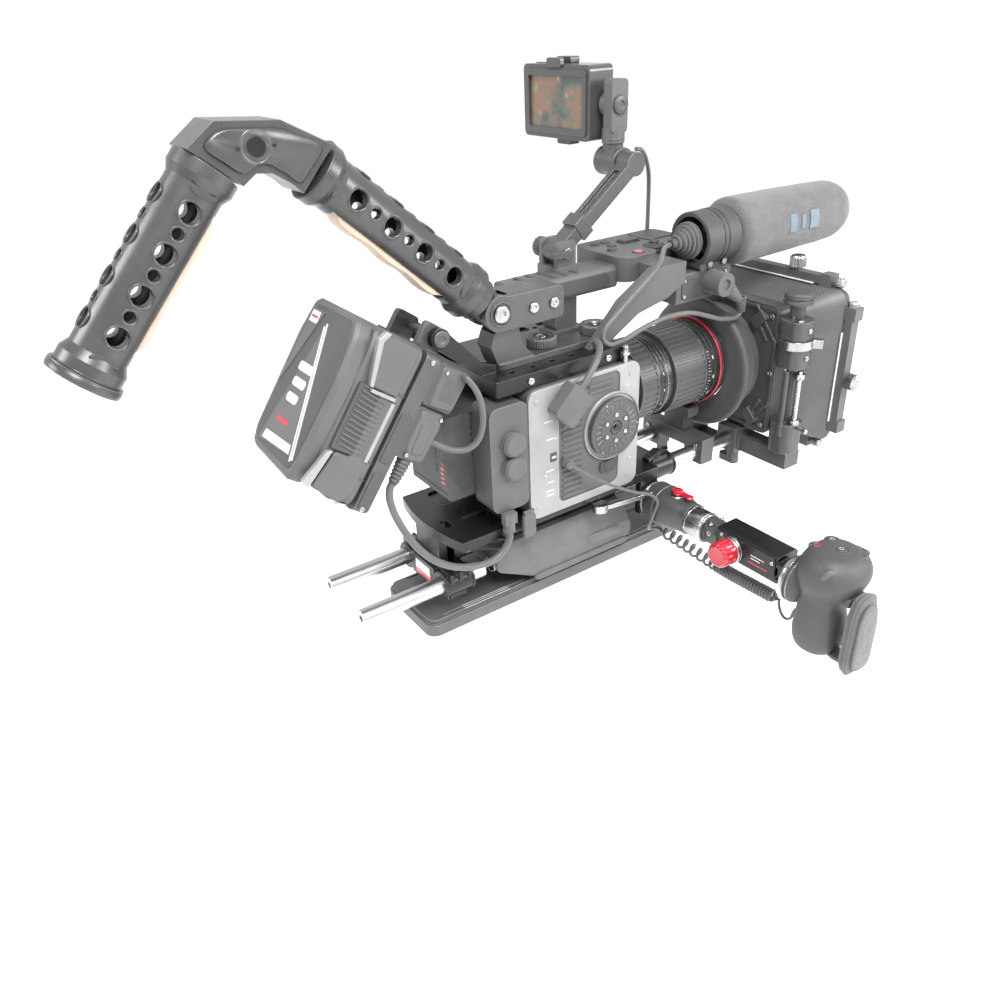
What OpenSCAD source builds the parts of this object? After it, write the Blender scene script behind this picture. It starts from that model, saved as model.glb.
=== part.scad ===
// Cinema camera rig: camera body, lens, matte box, top handle, microphone, monitor,
// folding shoulder handle, tilting battery and remote grip on a 15 mm rod baseplate.
// Millimetres. +Z is up, -Y is where the lens points, -X is the operator's right.
// The origin is the tripod thread in the underside of the adapter plate.

/* [Camera body] */
// Height of the camera's underside above the adapter plate's underside
cam_z0 = 90; // [86:1:94]
// Height of the camera body
cam_h = 116; // [114:1:117]
// Width of the camera body over both side panels
cam_w = 114; // [112:1:116]
// Where the front face of the body is
cam_front = -50; // [-52:1:-48]
// Where the rear face of the main body is
cam_rear = 68; // [66:1:69]

/* [Rods] */
// Diameter of the support rods
rod_d = 15; // [14.8:0.1:15.2]
// Distance between the two rods
rod_gap = 60; // [60:1:61]
// Height of the lens axis above the front rods
lens_drop = 85; // [83:1:86]

/* [Adapter plate] */
// Length of the tripod adapter plate
plate_l = 315; // [290:5:340]
// Width of the tripod adapter plate
plate_w = 80; // [70:1:90]
// Thickness of the tripod adapter plate
plate_t = 15; // [14:0.5:15]

/* [Handles and arms] */
// Resting tilt of the rear battery, measured from vertical
battery_tilt = 36; // [34:1:38]
// Diameter of the shoulder handle's tubes
grip_d = 36; // [34:1:37]
// Slope of the inner tube above horizontal
grip_rise = 42.5; // [42:0.5:43]

/* [Hidden] */
$fn = 48;

run = 0.05;                           // radial clearance of a running fit
rod_r = rod_d / 2;
rod_x = rod_gap / 2;
rear_rod_z = 43;
front_rod_z = 76;
axis_z = front_rod_z + lens_drop;
side_x = cam_w / 2;
cam_top = cam_z0 + cam_h;
cam_mid_y = (cam_front + cam_rear) / 2;
cam_len = cam_rear - cam_front;
panel_t = 3;
top_t = 13;
deck_z = cam_top + top_t;             // top of the top plate
base_t = 9;
pad_top = 62;
rosette_y = -20;
rosette_z = 153;

dark = [0.16, 0.16, 0.17];
grey = [0.42, 0.42, 0.43];
mid = [0.36, 0.36, 0.37];
silver = [0.78, 0.78, 0.79];
red = [0.8, 0.12, 0.18];

// ---- helpers -------------------------------------------------------------

// Cylinders that start at p and run towards +X, +Y or +Z
module cyl_x(p, r, h) translate(p) rotate([0, 90, 0]) cylinder(r = r, h = h);
module cyl_y(p, r, h) translate(p) rotate([-90, 0, 0]) cylinder(r = r, h = h);
module cyl_z(p, r, h) translate(p) cylinder(r = r, h = h);

// A box given by its two corners
module block(a, b) translate(a) cube(b - a);

// A rectangle with round corners
module round_rect(w, h, r) {
    square([w - 2 * r, h], center = true);
    square([w, h - 2 * r], center = true);
    for (sx = [-1, 1], sy = [-1, 1])
        translate([sx * (w / 2 - r), sy * (h / 2 - r)]) circle(r);
}

// Children drawn in the YZ plane and extruded from x0 to x1
module along_x(x0, x1) translate([x0, 0, 0]) rotate([90, 0, 90]) linear_extrude(x1 - x0) children();

// Children drawn in the XZ plane and extruded from y0 to y1
module along_y(y0, y1) translate([0, y1, 0]) rotate([90, 0, 0]) linear_extrude(y1 - y0) children();

// Round-cornered slabs between two corners, rounded about X, Y or Z
module slab_x(a, b, r) along_x(a.x, b.x)
    translate([(a.y + b.y) / 2, (a.z + b.z) / 2]) round_rect(b.y - a.y, b.z - a.z, r);
module slab_y(a, b, r) along_y(a.y, b.y)
    translate([(a.x + b.x) / 2, (a.z + b.z) / 2]) round_rect(b.x - a.x, b.z - a.z, r);
module slab_z(a, b, r) translate([(a.x + b.x) / 2, (a.y + b.y) / 2, a.z])
    linear_extrude(b.z - a.z) round_rect(b.x - a.x, b.y - a.y, r);

// A ring about the lens axis, from y0 towards the front by len
module lens_ring(y0, len, r_out, r_in) translate([0, y0, axis_z]) rotate([90, 0, 0]) difference() {
    cylinder(r = r_out, h = len);
    translate([0, 0, -1]) cylinder(r = r_in, h = len + 2);
}

// A cap screw: a head with a hexagon socket, pointing to +Z at p
module cap_screw(p, r, h) translate(p) difference() {
    cylinder(r = r, h = h, $fn = 24);
    translate([0, 0, h * 0.4]) cylinder(r = r * 0.5, h = h, $fn = 6);
}

// A tube swept along a route, as one closed polyhedron
function unit(v) = v / norm(v);
function heading(p, i) = unit(p[min(i + 1, len(p) - 1)] - p[max(i - 1, 0)]);
function ring_points(c, t, r, ref, n) =
    let (u = unit(cross(ref, t)), v = cross(t, u))
    [for (k = [0 : n - 1]) c + r * (cos(360 * k / n) * u + sin(360 * k / n) * v)];
module sweep(route, r, ref = [1, 0, 0], n = 8) {
    last = len(route) - 1;
    points = [for (i = [0 : last]) each ring_points(route[i], heading(route, i), r, ref, n)];
    walls = [for (i = [0 : last - 1], k = [0 : n - 1]) each
        let (a = i * n + k, b = i * n + (k + 1) % n) [[a, b, b + n], [a, b + n, a + n]]];
    polyhedron(points, concat([[for (k = [n - 1 : -1 : 0]) k]], walls,
        [[for (k = [0 : n - 1]) last * n + k]]));
}

// ---- support: adapter plate, pad, baseplate, rods ------------------------

plate_y = 7.5;                        // the plate's middle is a little behind the thread
plate_rear = plate_y + plate_l / 2;
plate_front = plate_y - plate_l / 2;

module adapter_plate() color([0.5, 0.5, 0.51]) difference() {
    union() {
        slab_z([-plate_w / 2, plate_front, 0], [plate_w / 2, plate_rear, plate_t - 4], 10);
        slab_z([-plate_w / 2 + 2.5, plate_front + 2.5, plate_t - 4],
            [plate_w / 2 - 2.5, plate_rear - 2.5, plate_t], 8);
    }
    cyl_z([0, 0, -1], 4, plate_t + 2);                    // 3/8 inch thread
    cyl_z([0, 18, -1], 2.3, 7);                           // anti-turn pin hole
    for (sx = [-1, 1])                                    // grooves along the top edges
        block([sx * 34 - 1.2, plate_front + 18, plate_t - 1.2],
            [sx * 34 + 1.2, plate_rear - 18, plate_t + 1]);
    for (y = [-110, 120])                                 // long balance slots
        slab_z([-3.3, y - 25, -1], [3.3, y + 25, plate_t + 1], 3.2);
}

module shoulder_pad() color(mid) hull() {
    slab_x([-36, -52, pad_top - 8], [36, 90, pad_top], 3.5);
    slab_x([-44, -58, 24], [44, 62, 40], 6);
    slab_x([-38, -56, plate_t], [38, 52, plate_t + 12], 5);
    slab_x([-40, -50, 36], [40, 94, pad_top - 6], 8);
}

module base_plate() color(dark) difference() {
    union() {
        intersection() {                                  // flat deck with a curved tail
            block([-51, -84, cam_z0 - base_t], [51, 141, cam_z0]);
            cyl_z([0, -30, cam_z0 - base_t], 171, base_t);
        }
        block([-30, -50, pad_top], [30, 80, cam_z0 - base_t]);
        block([-19, 112, 54], [19, 139, cam_z0 - base_t]);
        for (s = [-1, 1]) {                               // slanted ribs under the tail
            along_x(s * 36 - 3, s * 36 + 3) polygon([[80, 81], [80, 66], [96, 66], [134, 81]]);
            translate([s * 42, 108, 76]) rotate([0, 0, s * 35]) cube([4, 40, 10], center = true);
        }
        block([-51, -84, 46], [-44, -63, cam_z0 - base_t]); // ear for the remote arm
        cyl_x([-52, -77, 60], 15, 8);
    }
    slab_z([-22, 124, 50], [-8, 131, cam_z0 + 1], 3.4);   // long slot
    for (s = [-1, 1])                                     // shallow pockets in the deck
        slab_z([s * 28 - 14, 84, cam_z0 - 2], [s * 28 + 14, 114, cam_z0 + 1], 5);
    for (y = [-40, 0, 40]) cyl_z([40, y, 60], 3.3, 40);
    cyl_x([-60, -77, 60], 4, 30);
}

module rod_clamps() color(dark) {
    cyl_z([-30, -101, 88], 5, 6);                         // locking lever of the front clamp
    translate([-30, -101, 91]) rotate([0, 0, 20]) slab_z([-4, -3, 0], [4, 22, 4], 1.5);
    difference() {                                        // rear clamp
        union() {
            for (s = [-1, 1]) cyl_y([s * rod_x, 118, rear_rod_z], 11.5, 28);
            slab_y([-20, 118, 33], [20, 146, 53.9], 3);
            for (s = [-1, 1], y = [121, 130, 139])
                block([s * rod_x - 11, y, rear_rod_z + 4], [s * rod_x + 11, y + 3, rear_rod_z + 13]);
            for (s = [-1, 1])
                slab_y([s * rod_x - 5, 124, 27], [s * rod_x + 5, 140, 36], 2);
        }
        for (s = [-1, 1]) cyl_y([s * rod_x, 100, rear_rod_z], rod_r + run, 60);
        for (s = [-1, 1]) block([s * rod_x - 0.8, 110, 20], [s * rod_x + 0.8, 150, 37]);
    }
    difference() {                                        // front clamp
        union() {
            for (s = [-1, 1]) cyl_y([s * rod_x, -118, front_rod_z], 11.5, 33);
            block([-rod_x, -114, 70], [rod_x, -88, 81]);
            block([-18, -90, 70], [18, -60, 80.9]);
            for (s = [-1, 1]) block([s * rod_x - 6, -110, front_rod_z], [s * rod_x + 6, -92, 89]);
        }
        for (s = [-1, 1]) cyl_y([s * rod_x, -130, front_rod_z], rod_r + run, 60);
        for (s = [-1, 1]) block([s * rod_x - 0.8, -130, 80], [s * rod_x + 0.8, -80, 95]);
    }
}

module rod(x, y0, y1, z) difference() {
    cyl_y([x, y0, z], rod_r, y1 - y0);
    cyl_y([x, y0 - 1, z], 5.5, y1 - y0 - 3);
    cyl_y([x, y1 - 6, z], 3, 10);
}

module rods() color(silver) for (s = [-1, 1]) {
    rod(s * rod_x, 104, 222, rear_rod_z);
    rod(s * rod_x, -245, -86, front_rod_z);
}

module top_plate() {
    battery_hanger();
    mounting_deck();
}

module mounting_deck() color(dark) difference() {
    slab_z([-50, -42, cam_top], [50, 93, deck_z], 3);
    for (x = [-38, 38], y = [-30 : 20 : 85]) cyl_z([x, y, cam_top - 1], 2.6, top_t + 2);
    for (y = [82]) for (x = [-20, 0, 20]) cyl_z([x, y, cam_top - 1], 2.6, top_t + 2);
    for (y = [-24, 4, 32]) slab_z([36, y - 8, deck_z - 2], [47, y + 8, deck_z + 1], 2.5);
    block([-42, 78, deck_z - 1.5], [42, 79.5, deck_z + 1]);
    for (y = [-20, 60]) cyl_x([-51, y, cam_top + 6.5], 2.1, 8);
}

// ---- camera --------------------------------------------------------------

module camera_body() color(grey) {
    difference() {
        union() {
            slab_x([-side_x + panel_t, cam_front, cam_z0], [side_x, cam_rear, cam_top], 9);
            slab_x([-56, cam_rear, 108], [-30, 105, 201], 8);
            slab_x([32, cam_rear, 108], [56, 92, 201], 8);
            for (z = [147, 168]) cyl_x([-60, 85, z], 9, 8);     // covered sockets
        }
        cyl_y([0, cam_front - 1, axis_z], 27, 40);              // mount throat
        for (z = [147, 168]) cyl_x([-61, 85, z], 3, 3);
        slab_x([-side_x + 2, -28, 97], [-side_x + 5, 38, 202], 6);
    }
}

module panel_window() {                                   // opening around the vents
    translate([5, 150]) round_rect(66, 106, 7);
}

module side_panel() color(silver) difference() {
    slab_x([-side_x, cam_front, cam_z0], [-side_x + panel_t, cam_rear, cam_top], 9);
    difference() {
        along_x(-side_x - 1, -side_x + panel_t + 1) panel_window();
        along_x(-side_x - 2, -side_x + panel_t + 2) translate([rosette_y, rosette_z]) circle(31);
        along_x(-side_x - 2, -side_x + panel_t + 2) translate([rosette_y - 31, rosette_z - 22]) square([31, 44]);
    }
    cyl_x([-side_x - 1, 44, 143], 3.6, panel_t + 2);
    cyl_x([-side_x - 1, rosette_y, rosette_z], 20, panel_t + 2);
}

module cooling_grille() color(mid) difference() {
    union() {
        along_x(-side_x + 1, -side_x + panel_t) difference() {
            translate([5, 150]) round_rect(65.6, 105.6, 6.8);
            translate([rosette_y, rosette_z]) circle(31.2);
            translate([rosette_y - 32, rosette_z - 22.2]) square([32, 44.4]);
        }
        for (z = [100 : 5.5 : 196])                       // cooling slats
            block([-side_x - 0.4, z > 186 ? -20 : z > 176 ? 3 : 13, z],
                [-side_x + 1, z > 186 ? 6 : 34, z + 2.2]);
    }
    cyl_x([-side_x - 1, -16, 116], 5, 6);
}

module grip_rosette() color(mid) difference() {
    union() {
        cyl_x([-side_x - 5, rosette_y, rosette_z], 27, 5);
        cyl_x([-side_x, rosette_y, rosette_z], 19.9, panel_t);
        for (a = [0 : 15 : 345])                          // radial teeth
            translate([-side_x - 5.6, rosette_y, rosette_z]) rotate([a, 0, 0])
                block([0, 16.5, -0.8], [1, 22, 0.8]);
    }
    cyl_x([-side_x - 7, rosette_y, rosette_z], 2.6, 20);
    cyl_x([-side_x - 7, rosette_y, rosette_z], 7, 4);
    for (a = [30 : 60 : 330])
        translate([0, rosette_y, rosette_z]) rotate([a, 0, 0]) cyl_x([-side_x - 6, 12, 0], 1.6, 4);
}

module camera_battery() color(mid) difference() {
    slab_x([-29, cam_rear + 0.2, 118], [29, 131, 192], 4);
    for (z = [130 : 6 : 184])                             // slanted grip ribs
        translate([-29, 96, z]) rotate([35, 0, 0]) cube([1.6, 26, 1.8], center = true);
}

// ---- lens ----------------------------------------------------------------

module lens_barrel() color(mid) {
    lens_ring(cam_front, 6, 34, 26);
    lens_ring(cam_front - 6, 16, 36.5, 26);
    lens_ring(cam_front - 22, 22, 34, 26);
    lens_ring(cam_front - 44, 18, 38, 26);
    lens_ring(cam_front - 62, 40, 36, 26);
    lens_ring(cam_front - 102, 20, 41, 34);
    lens_ring(cam_front - 101, 3, 36, 26);
    lens_ring(cam_front - 122, 5, 42, 36);
    for (y = [-48, -52, -56]) lens_ring(cam_front + y, 1.4, 38.5, 36);
}

module lens_glass() color([0.25, 0.27, 0.35, 0.6]) {
    translate([0, cam_front - 108, axis_z]) rotate([90, 0, 0]) intersection() {
        cylinder(r = 33.9, h = 14);
        translate([0, 0, -60]) sphere(r = 72, $fn = 64);
    }
    translate([0, cam_front - 24, axis_z]) rotate([90, 0, 0]) cylinder(r = 25.9, h = 6);
}

module ribbed_ring(y0, len, r_out, r_in, ribs) {
    lens_ring(y0, len, r_out - 0.8, r_in);
    lens_ring(y0, 2, r_out, r_in);
    lens_ring(y0 - len + 2, 2, r_out, r_in);
    for (k = [0 : ribs - 1])
        translate([0, y0 - len + 1.5, axis_z]) rotate([0, k * 360 / ribs, 0])
            block([r_out - 1.6, 0, -1.1], [r_out, len - 3, 1.1]);
}

module zoom_ring() color(dark) ribbed_ring(cam_front - 22.2, 21.6, 39, 34 + run, 40);
module focus_ring() color(dark) ribbed_ring(cam_front - 62.2, 39.6, 41, 36 + run, 48);

// ---- top handle, microphone ----------------------------------------------

bar_top = 272;
mic_x = -18;
mic_z = 284;

module top_handle() color(grey) difference() {
    union() {
        slab_y([-3, -70, bar_top - 20], [31, 37, bar_top], 5);            // bar
        slab_x([6, -32, deck_z + 5], [24, -8, bar_top - 15], 4);          // rear post
        slab_z([2, -38, deck_z], [28, -4, deck_z + 5], 6);
        along_x(-40, -33) polygon([[-8, deck_z], [-27, deck_z], [-62, 239], [-96, 246],
            [-116, 256], [-116, 274], [-78, 274], [-42, 253]]);           // raking front strut
        block([-34, -116, 257], [2, -84, 274]);
        slab_z([-14, -112, 258], [58, -68, 279], 12);                     // control pod
        slab_z([0, -140, 258], [58, -98, 279], 10);
        slab_z([10, -168, 258], [58, -124, 279], 12);
        block([-28, -186, 232], [8, -118, 258]);                          // audio input unit
        block([-20, -130, 250], [20, -112, 262]);
        for (x = [12, 33.1]) slab_x([x, -36, 262], [x + 4.9, -16, 297], 4); // arm clevis ears
        slab_z([10, -38, bar_top - 8], [40, -14, bar_top + 3.5], 3);
    }
    for (y = [-4, 8, 22]) cyl_z([20, y, bar_top - 6], 2.6, 8);
    slab_z([-2, 12, bar_top - 3], [5, 26, bar_top + 1], 2.5);
    cyl_z([6, -121, 274], 9.2, 8);                                        // joystick recess
    slab_z([27, -126, 276], [41, -104, 281], 3.4);                        // rocker recess
    cyl_x([25.6, -115, 278.2], 1.2 + run, 16.8);          // rocker pins' holes
    cyl_z([-3, -94, 272], 4.1, 9);
    cyl_x([10, arm_low.x, arm_low.y], 2.95, 32);                          // arm pin's holes
}

module zoom_rocker() color(dark) difference() {
    union() {
        slab_z([28.5, -124.5, 277], [39.5, -105.5, 281.4], 2.5);
        cyl_x([26, -115, 278.2], 1.2, 16);                // pins
    }
    cyl_z([34, -115, 285.5], 5, 6);
}

module handle_button() color(red) {
    cyl_z([-3, -94, 274.5], 4, 5.6);
}

module mic_holder() color(grey) {
    difference() {
        union() {
            cyl_y([mic_x, -182, mic_z], 24, 40);
            block([mic_x - 12, -178, 258.1], [mic_x + 22, -148, 266]);
            cyl_x([mic_x - 14, -146, mic_z - 22], 4, 24);
        }
        cyl_y([mic_x, -183, mic_z], 20, 42);
        block([mic_x + 17, -183, mic_z + 3], [mic_x + 26, -141, mic_z + 5]);   // clamping slot
    }
    for (a = [45 : 90 : 315])                             // rubber bridges to the tube
        translate([mic_x, 0, mic_z]) rotate([0, a, 0])
            block([10.5, -176, -2.5], [21, -150, 2.5]);
}

module microphone() color(mid) translate([mic_x, 0, mic_z]) rotate([90, 0, 0]) rotate_extrude()
    polygon([[0, 118], [4, 118], [5, 124], [9, 127], [9, 129], [11, 130], [11, 132], [13.5, 133],
        [13.5, 135], [15.5, 136], [15.5, 141], [10.3, 142], [10.3, 318], [0, 318]]);

module windscreen() color([0.5, 0.5, 0.51]) translate([mic_x, 0, mic_z]) rotate([90, 0, 0])
    rotate_extrude() difference() {
        union() {
            translate([0, 186]) square([31, 132]);
            intersection() {
                translate([0, 318]) circle(31);
                square([40, 400]);
            }
            translate([0, 183]) square([25.4, 4]);
        }
        translate([-40, 0]) square([40, 400]);
        translate([0, 172]) square([10.35, 147]);
    }

// ---- shoulder handle -----------------------------------------------------

grip_x = -19;
pivot_y = 75;
pivot_z = 266;
grip_r = grip_d / 2;
inner_len = 176;
elbow_at = [pivot_y + inner_len * cos(grip_rise), pivot_z + inner_len * sin(grip_rise)];
outer_fall = 48;                      // slope of the outer tube below horizontal
outer_at = [272, 394];
outer_len = 148;

module handle_bracket() color(mid) difference() {
    union() {
        slab_z([grip_x - 12, -42, deck_z], [grip_x + 12, 76, deck_z + 5], 6);
        along_x(grip_x - 10, grip_x + 10) polygon([[40, deck_z + 4], [76, deck_z + 4],
            [82, deck_z + 20], [78, 249], [73, 256], [56, 256], [52, deck_z + 16]]);
        slab_x([grip_x - 15, 14, 252], [grip_x + 15, 74, 278], 5);
        cyl_x([grip_x - 15, pivot_y, pivot_z], 14, 30);
    }
    along_x(grip_x - 8.2, grip_x + 8.2) translate([pivot_y, pivot_z]) circle(17);
    block([grip_x - 8.2, pivot_y, pivot_z - 17], [grip_x + 8.2, pivot_y + 30, pivot_z + 30]);
    cyl_x([grip_x - 16, pivot_y, pivot_z], 4, 32);
    for (y = [24, 44]) cyl_x([grip_x - 16, y, 265], 3.2, 6);
    for (y = [-30, 18]) cyl_z([grip_x, y, deck_z - 1], 3.2, 8);
}

// Puts children, drawn along +Z from the origin, on the inner or the outer tube's axis
module on_inner() translate([grip_x, pivot_y, pivot_z]) rotate([grip_rise - 90, 0, 0]) children();
module on_outer() translate([grip_x, outer_at.x, outer_at.y]) rotate([-90 - outer_fall, 0, 0]) children();

// A grip tube with rows of round windows; the palm side is cut away for an insert
module grip_tube(len, palm) difference() {
    rotate_extrude() polygon([[11, 0], [grip_r + 3, 0], [grip_r + 3, 8], [grip_r, 14],
        [grip_r, len - 14], [grip_r + 3, len - 8], [grip_r + 3, len], [11, len]]);
    for (side = [-90, 0, 90], k = [0 : 3]) {              // two side rows and one opposite the palm
        translate([0, 0, 29 + k * (len - 58) / 3]) rotate([90, 0, side]) cylinder(r = 6.5, h = 40);
        if (k < 3) translate([0, 0, 29 + (k + 0.5) * (len - 58) / 3])
            rotate([90, 0, side]) cylinder(r = 3.8, h = 40);
    }
    translate([-9.5, palm > 0 ? 14 : -34, 22]) cube([19, 20, len - 44]);
}

module grip_insert(len, palm) difference() {
    intersection() {
        translate([-9.2, palm > 0 ? 14.2 : -34.2, 22.4]) cube([18.4, 20, len - 44.8]);
        cylinder(r = grip_r + 3, h = len);
    }
}

module grip_inner() color(mid) {
    on_inner() translate([0, 0, 26]) grip_tube(inner_len - 26, 1);
    on_inner() difference() {
        union() {
            translate([-7.9, -12, 8]) cube([15.8, 24, 10]);
            translate([0, 0, 16]) cylinder(r = 17, h = 10);
        }
        rotate([0, 90, 0]) cylinder(r = 6, h = 40, center = true);
    }
    difference() {
        cyl_x([grip_x - 7.9, pivot_y, pivot_z], 12, 15.8);
        cyl_x([grip_x - 10, pivot_y, pivot_z], 4 + run, 20);
    }
}

module grip_outer() color(mid) {
    on_outer() grip_tube(outer_len - 6, 1);
    on_outer() translate([0, 0, outer_len - 6]) difference() {
        cylinder(r = grip_r + 5, h = 6);
        translate([0, 0, -1]) cylinder(r = 9, h = 8);
    }
}

module grip_elbow() color(mid) difference() {
    along_x(grip_x - 17, grip_x + 17) polygon([[196, 400], [220, 374], [226, 380], [238, 388],
        [248, 389], [257, 383], [286, 407], [268, 420], [228, 417]]);
    cyl_x([grip_x - 18, 246, 404], 6, 36);
    for (s = [-1, 1]) cyl_x([grip_x + s * 17 - 1.5, 246, 404], 10, 3);
}

module grip_inserts() color([0.87, 0.76, 0.66]) {
    on_inner() translate([0, 0, 26]) grip_insert(inner_len - 26, 1);
    on_outer() grip_insert(outer_len - 6, 1);
}

// ---- matte box -----------------------------------------------------------

hinge_x = -88;
hinge_y = -215;
stage_z = 156;

module matte_foot() color(mid) difference() {
    union() {
        block([-42, -226, 64], [-18, -200, 90]);                // clamp on the near rod
        block([18, -226, 66], [42, -200, 86]);
        block([-42, -223, 64], [42, -205, 67.5]);
        block([hinge_x - 12, -226, 66], [-40, -206, 82]);
        slab_z([hinge_x - 13, -229, 82], [hinge_x + 13, -203, 112], 9);
        cyl_z([hinge_x, hinge_y, 100], 4, 112);                 // hinge post
        cyl_z([hinge_x - 3, hinge_y + 11, 100], 2.6, 66);       // guide post
        cyl_z([-30, -213, 52], 6, 14);                          // clamp screw
        slab_z([-36, -218, 46], [-14, -208, 53], 4);
    }
    for (s = [-1, 1]) cyl_y([s * rod_x, -230, front_rod_z], rod_r + run, 40);
}

// Outline of the matte box in the XZ plane, half sizes w and h
module box_outline(w, h, r) translate([0, stage_z]) round_rect(2 * w, 2 * h, r);

module matte_stage() color(mid) {
    difference() {
        union() {
            along_y(-226, -210) box_outline(72, 64, 8);
            slab_z([hinge_x - 13, -227.8, 168], [hinge_x + 14, -202, 213], 9);
            block([hinge_x + 8, -224, 176], [-66, -210, 206]);
            for (a = [45 : 90 : 315])                     // corner webs
                translate([0, -208, stage_z]) rotate([0, a, 0]) block([62, -3, -5], [78, 2, 5]);
        }
        translate([0, -200, stage_z]) rotate([90, 0, 0]) cylinder(r = 50, h = 40);
        cyl_z([hinge_x, hinge_y, 160], 4 + run, 60);
        along_y(-229, -219) box_outline(58, 52, 3);
        difference() {                                    // groove for the latch ring
            cyl_z([hinge_x, hinge_y, 186.8], 17, 8.4);
            cyl_z([hinge_x, hinge_y, 186], 11, 10);
        }
    }
    difference() {                                        // knob on the hinge block
        union() {
            cyl_z([hinge_x, hinge_y, 213], 5, 14);
            cyl_z([hinge_x, hinge_y, 227], 11, 4);
            cyl_z([hinge_x, hinge_y, 232], 10, 4);
            cyl_z([hinge_x, hinge_y, 230], 9, 3);
        }
        cyl_z([hinge_x, hinge_y, 205], 2, 12);
    }
}

hood_y = -262;
hood_w = 104;
hood_h = 76;

module flag_rails() {
    for (s = [-1, 1]) {
        slab_y([-76, hood_y - 8, stage_z + s * (hood_h + 5) - 4],
            [76, hood_y + 2, stage_z + s * (hood_h + 5) + 4], 2);
        for (x = [-84, 72])
            block([x, hood_y - 10, stage_z + s * (hood_h + 5) - 6],
                [x + 12, hood_y + 2, stage_z + s * (hood_h + 5) + 6]);
        slab_y([s * (hood_w + 5) - 4, hood_y - 8, stage_z - 54],
            [s * (hood_w + 5) + 4, hood_y + 2, stage_z + 54], 2);
        for (z = [-62, 50])
            block([s * (hood_w + 5) - 6, hood_y - 10, stage_z + z],
                [s * (hood_w + 5) + 6, hood_y + 2, stage_z + z + 12]);
        cyl_x([s > 0 ? hood_w + 9 : -hood_w - 19, hood_y - 3, stage_z - 6], 5.5, 10);
        cyl_z([-40, hood_y - 3, stage_z + (s > 0 ? hood_h + 9 : -hood_h - 17)], 5.5, 8);
        cyl_x([s > 0 ? 84 : -94, hood_y - 3, stage_z + hood_h + 5], 4, 10);
    }
}

module donut() color([0.3, 0.3, 0.31]) translate([0, -178, stage_z]) rotate([90, 0, 0])
    rotate_extrude() polygon([[38, 0], [62, 0], [66, 3], [66, 8], [58, 20], [56, 31.8], [51, 31.8],
        [53, 18], [53, 8], [38, 3]]);

module hood() color(mid) {
    hood_shell();
    flag_rails();
}

module hood_shell() difference() {
    hull() {
        along_y(-228, -226.2) box_outline(76, 60, 10);
        along_y(hood_y - 2, hood_y) box_outline(hood_w, hood_h, 14);
    }
    hull() {
        along_y(-226.3, -226) box_outline(73, 57, 8);
        along_y(hood_y - 3, hood_y - 2) box_outline(hood_w - 2, hood_h - 2, 12);
    }
    along_y(-230, -220) box_outline(72, 56, 8);
}

module swing_latch() color(silver) difference() {
    union() {
        cyl_z([hinge_x, hinge_y, 187], 16, 8);
        translate([hinge_x, hinge_y, 187]) rotate([0, 0, 215]) block([12, -3, 0], [24, 3, 8]);
    }
    cyl_z([hinge_x, hinge_y, 186], 11 + run, 10);
}

// ---- lens support --------------------------------------------------------

module lens_support() color(mid) difference() {
    union() {
        block([-42, -168, 66], [42, -152, 92]);
        slab_y([-14, -166, 92], [14, -154, 112], 3);
        slab_y([-20, -167, 108], [20, -153, 119], 3);
        cyl_z([20, -160, 52], 6, 15);
    }
    for (s = [-1, 1]) cyl_y([s * rod_x, -175, front_rod_z], rod_r + run, 30);
    block([-18, -170, 60], [18, -150, 80]);
    lens_ring(-140, 40, 41.3, 0.01);
}

// ---- small moving parts on the root ---------------------------------------

module quick_lever() color(silver) {
    cyl_z([-57, -8, 73], 7, 7);
    translate([-57, -8, 74]) rotate([0, 0, -8]) block([-4, -54, 0], [3, 0, 4]);
}

module port_flap() color(grey) {
    slab_x([-60.4, 66, 78], [-57.4, 78, 101], 4);
    cyl_y([-58.9, 67, 102], 1.5, 10);
}

module side_button() color(mid) {
    cyl_x([-side_x - 1.4, -16, 116], 4.9, 3);
}

// ---- rear battery --------------------------------------------------------

tilt_y = 127;
tilt_z = 257;
hanger_x = 27;                        // the hanger's two arms are this far off centre

// Children are drawn upright, hanging below the hinge at the origin
module tilted() translate([0, tilt_y, tilt_z]) rotate([battery_tilt, 0, 0]) children();

module battery_hanger() color(dark) {                     // fixed arms on the top plate
    for (s = [-1, 1]) difference() {
        union() {
            along_x(s * hanger_x - 3, s * hanger_x + 3) polygon([[79, deck_z - 1], [92, deck_z - 1],
                [131, 250], [124, 264], [91, 229], [79, deck_z + 6]]);
            cyl_x([s * hanger_x - 3, tilt_y, tilt_z], 8, 6);
        }
        cyl_x([s * hanger_x - 4, tilt_y, tilt_z], 2.95 + run, 8);
    }
}

module battery_plate() color(mid) tilted() difference() {
    union() {
        slab_y([-46, 2, -142], [46, 15, -12], 6);
        for (s = [-1, 1]) slab_x([s * (hanger_x - 6) - 2.9, -7, -20],
            [s * (hanger_x - 6) + 2.9, 14, 8], 4);
        cyl_x([-hanger_x - 4, 0, 0], 2.95, 2 * hanger_x + 8);
        slab_y([-32, -6, -132], [30, 2.1, -70], 6);
        slab_y([-18, 15, -126], [18, 17, -22], 4);        // keyed wedge
    }
    for (x = [-26, 22], z = [-124, -80]) cyl_y([x, -7, z], 2.2, 30);
    slab_x([43.9, 3.95, -40.05], [47, 14.05, -19.95], 2);     // the release sinks in here
}

module battery_connectors() color(mid) tilted() {
    slab_x([-46, -26, -48], [-32.5, 2, -14], 3);
    slab_x([-46, -22, -92], [-32.5, 2, -50], 3);
    translate([-41, -10, -112.5]) cylinder(r1 = 3.6, r2 = 5.5, h = 21);   // strain relief
}

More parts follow.
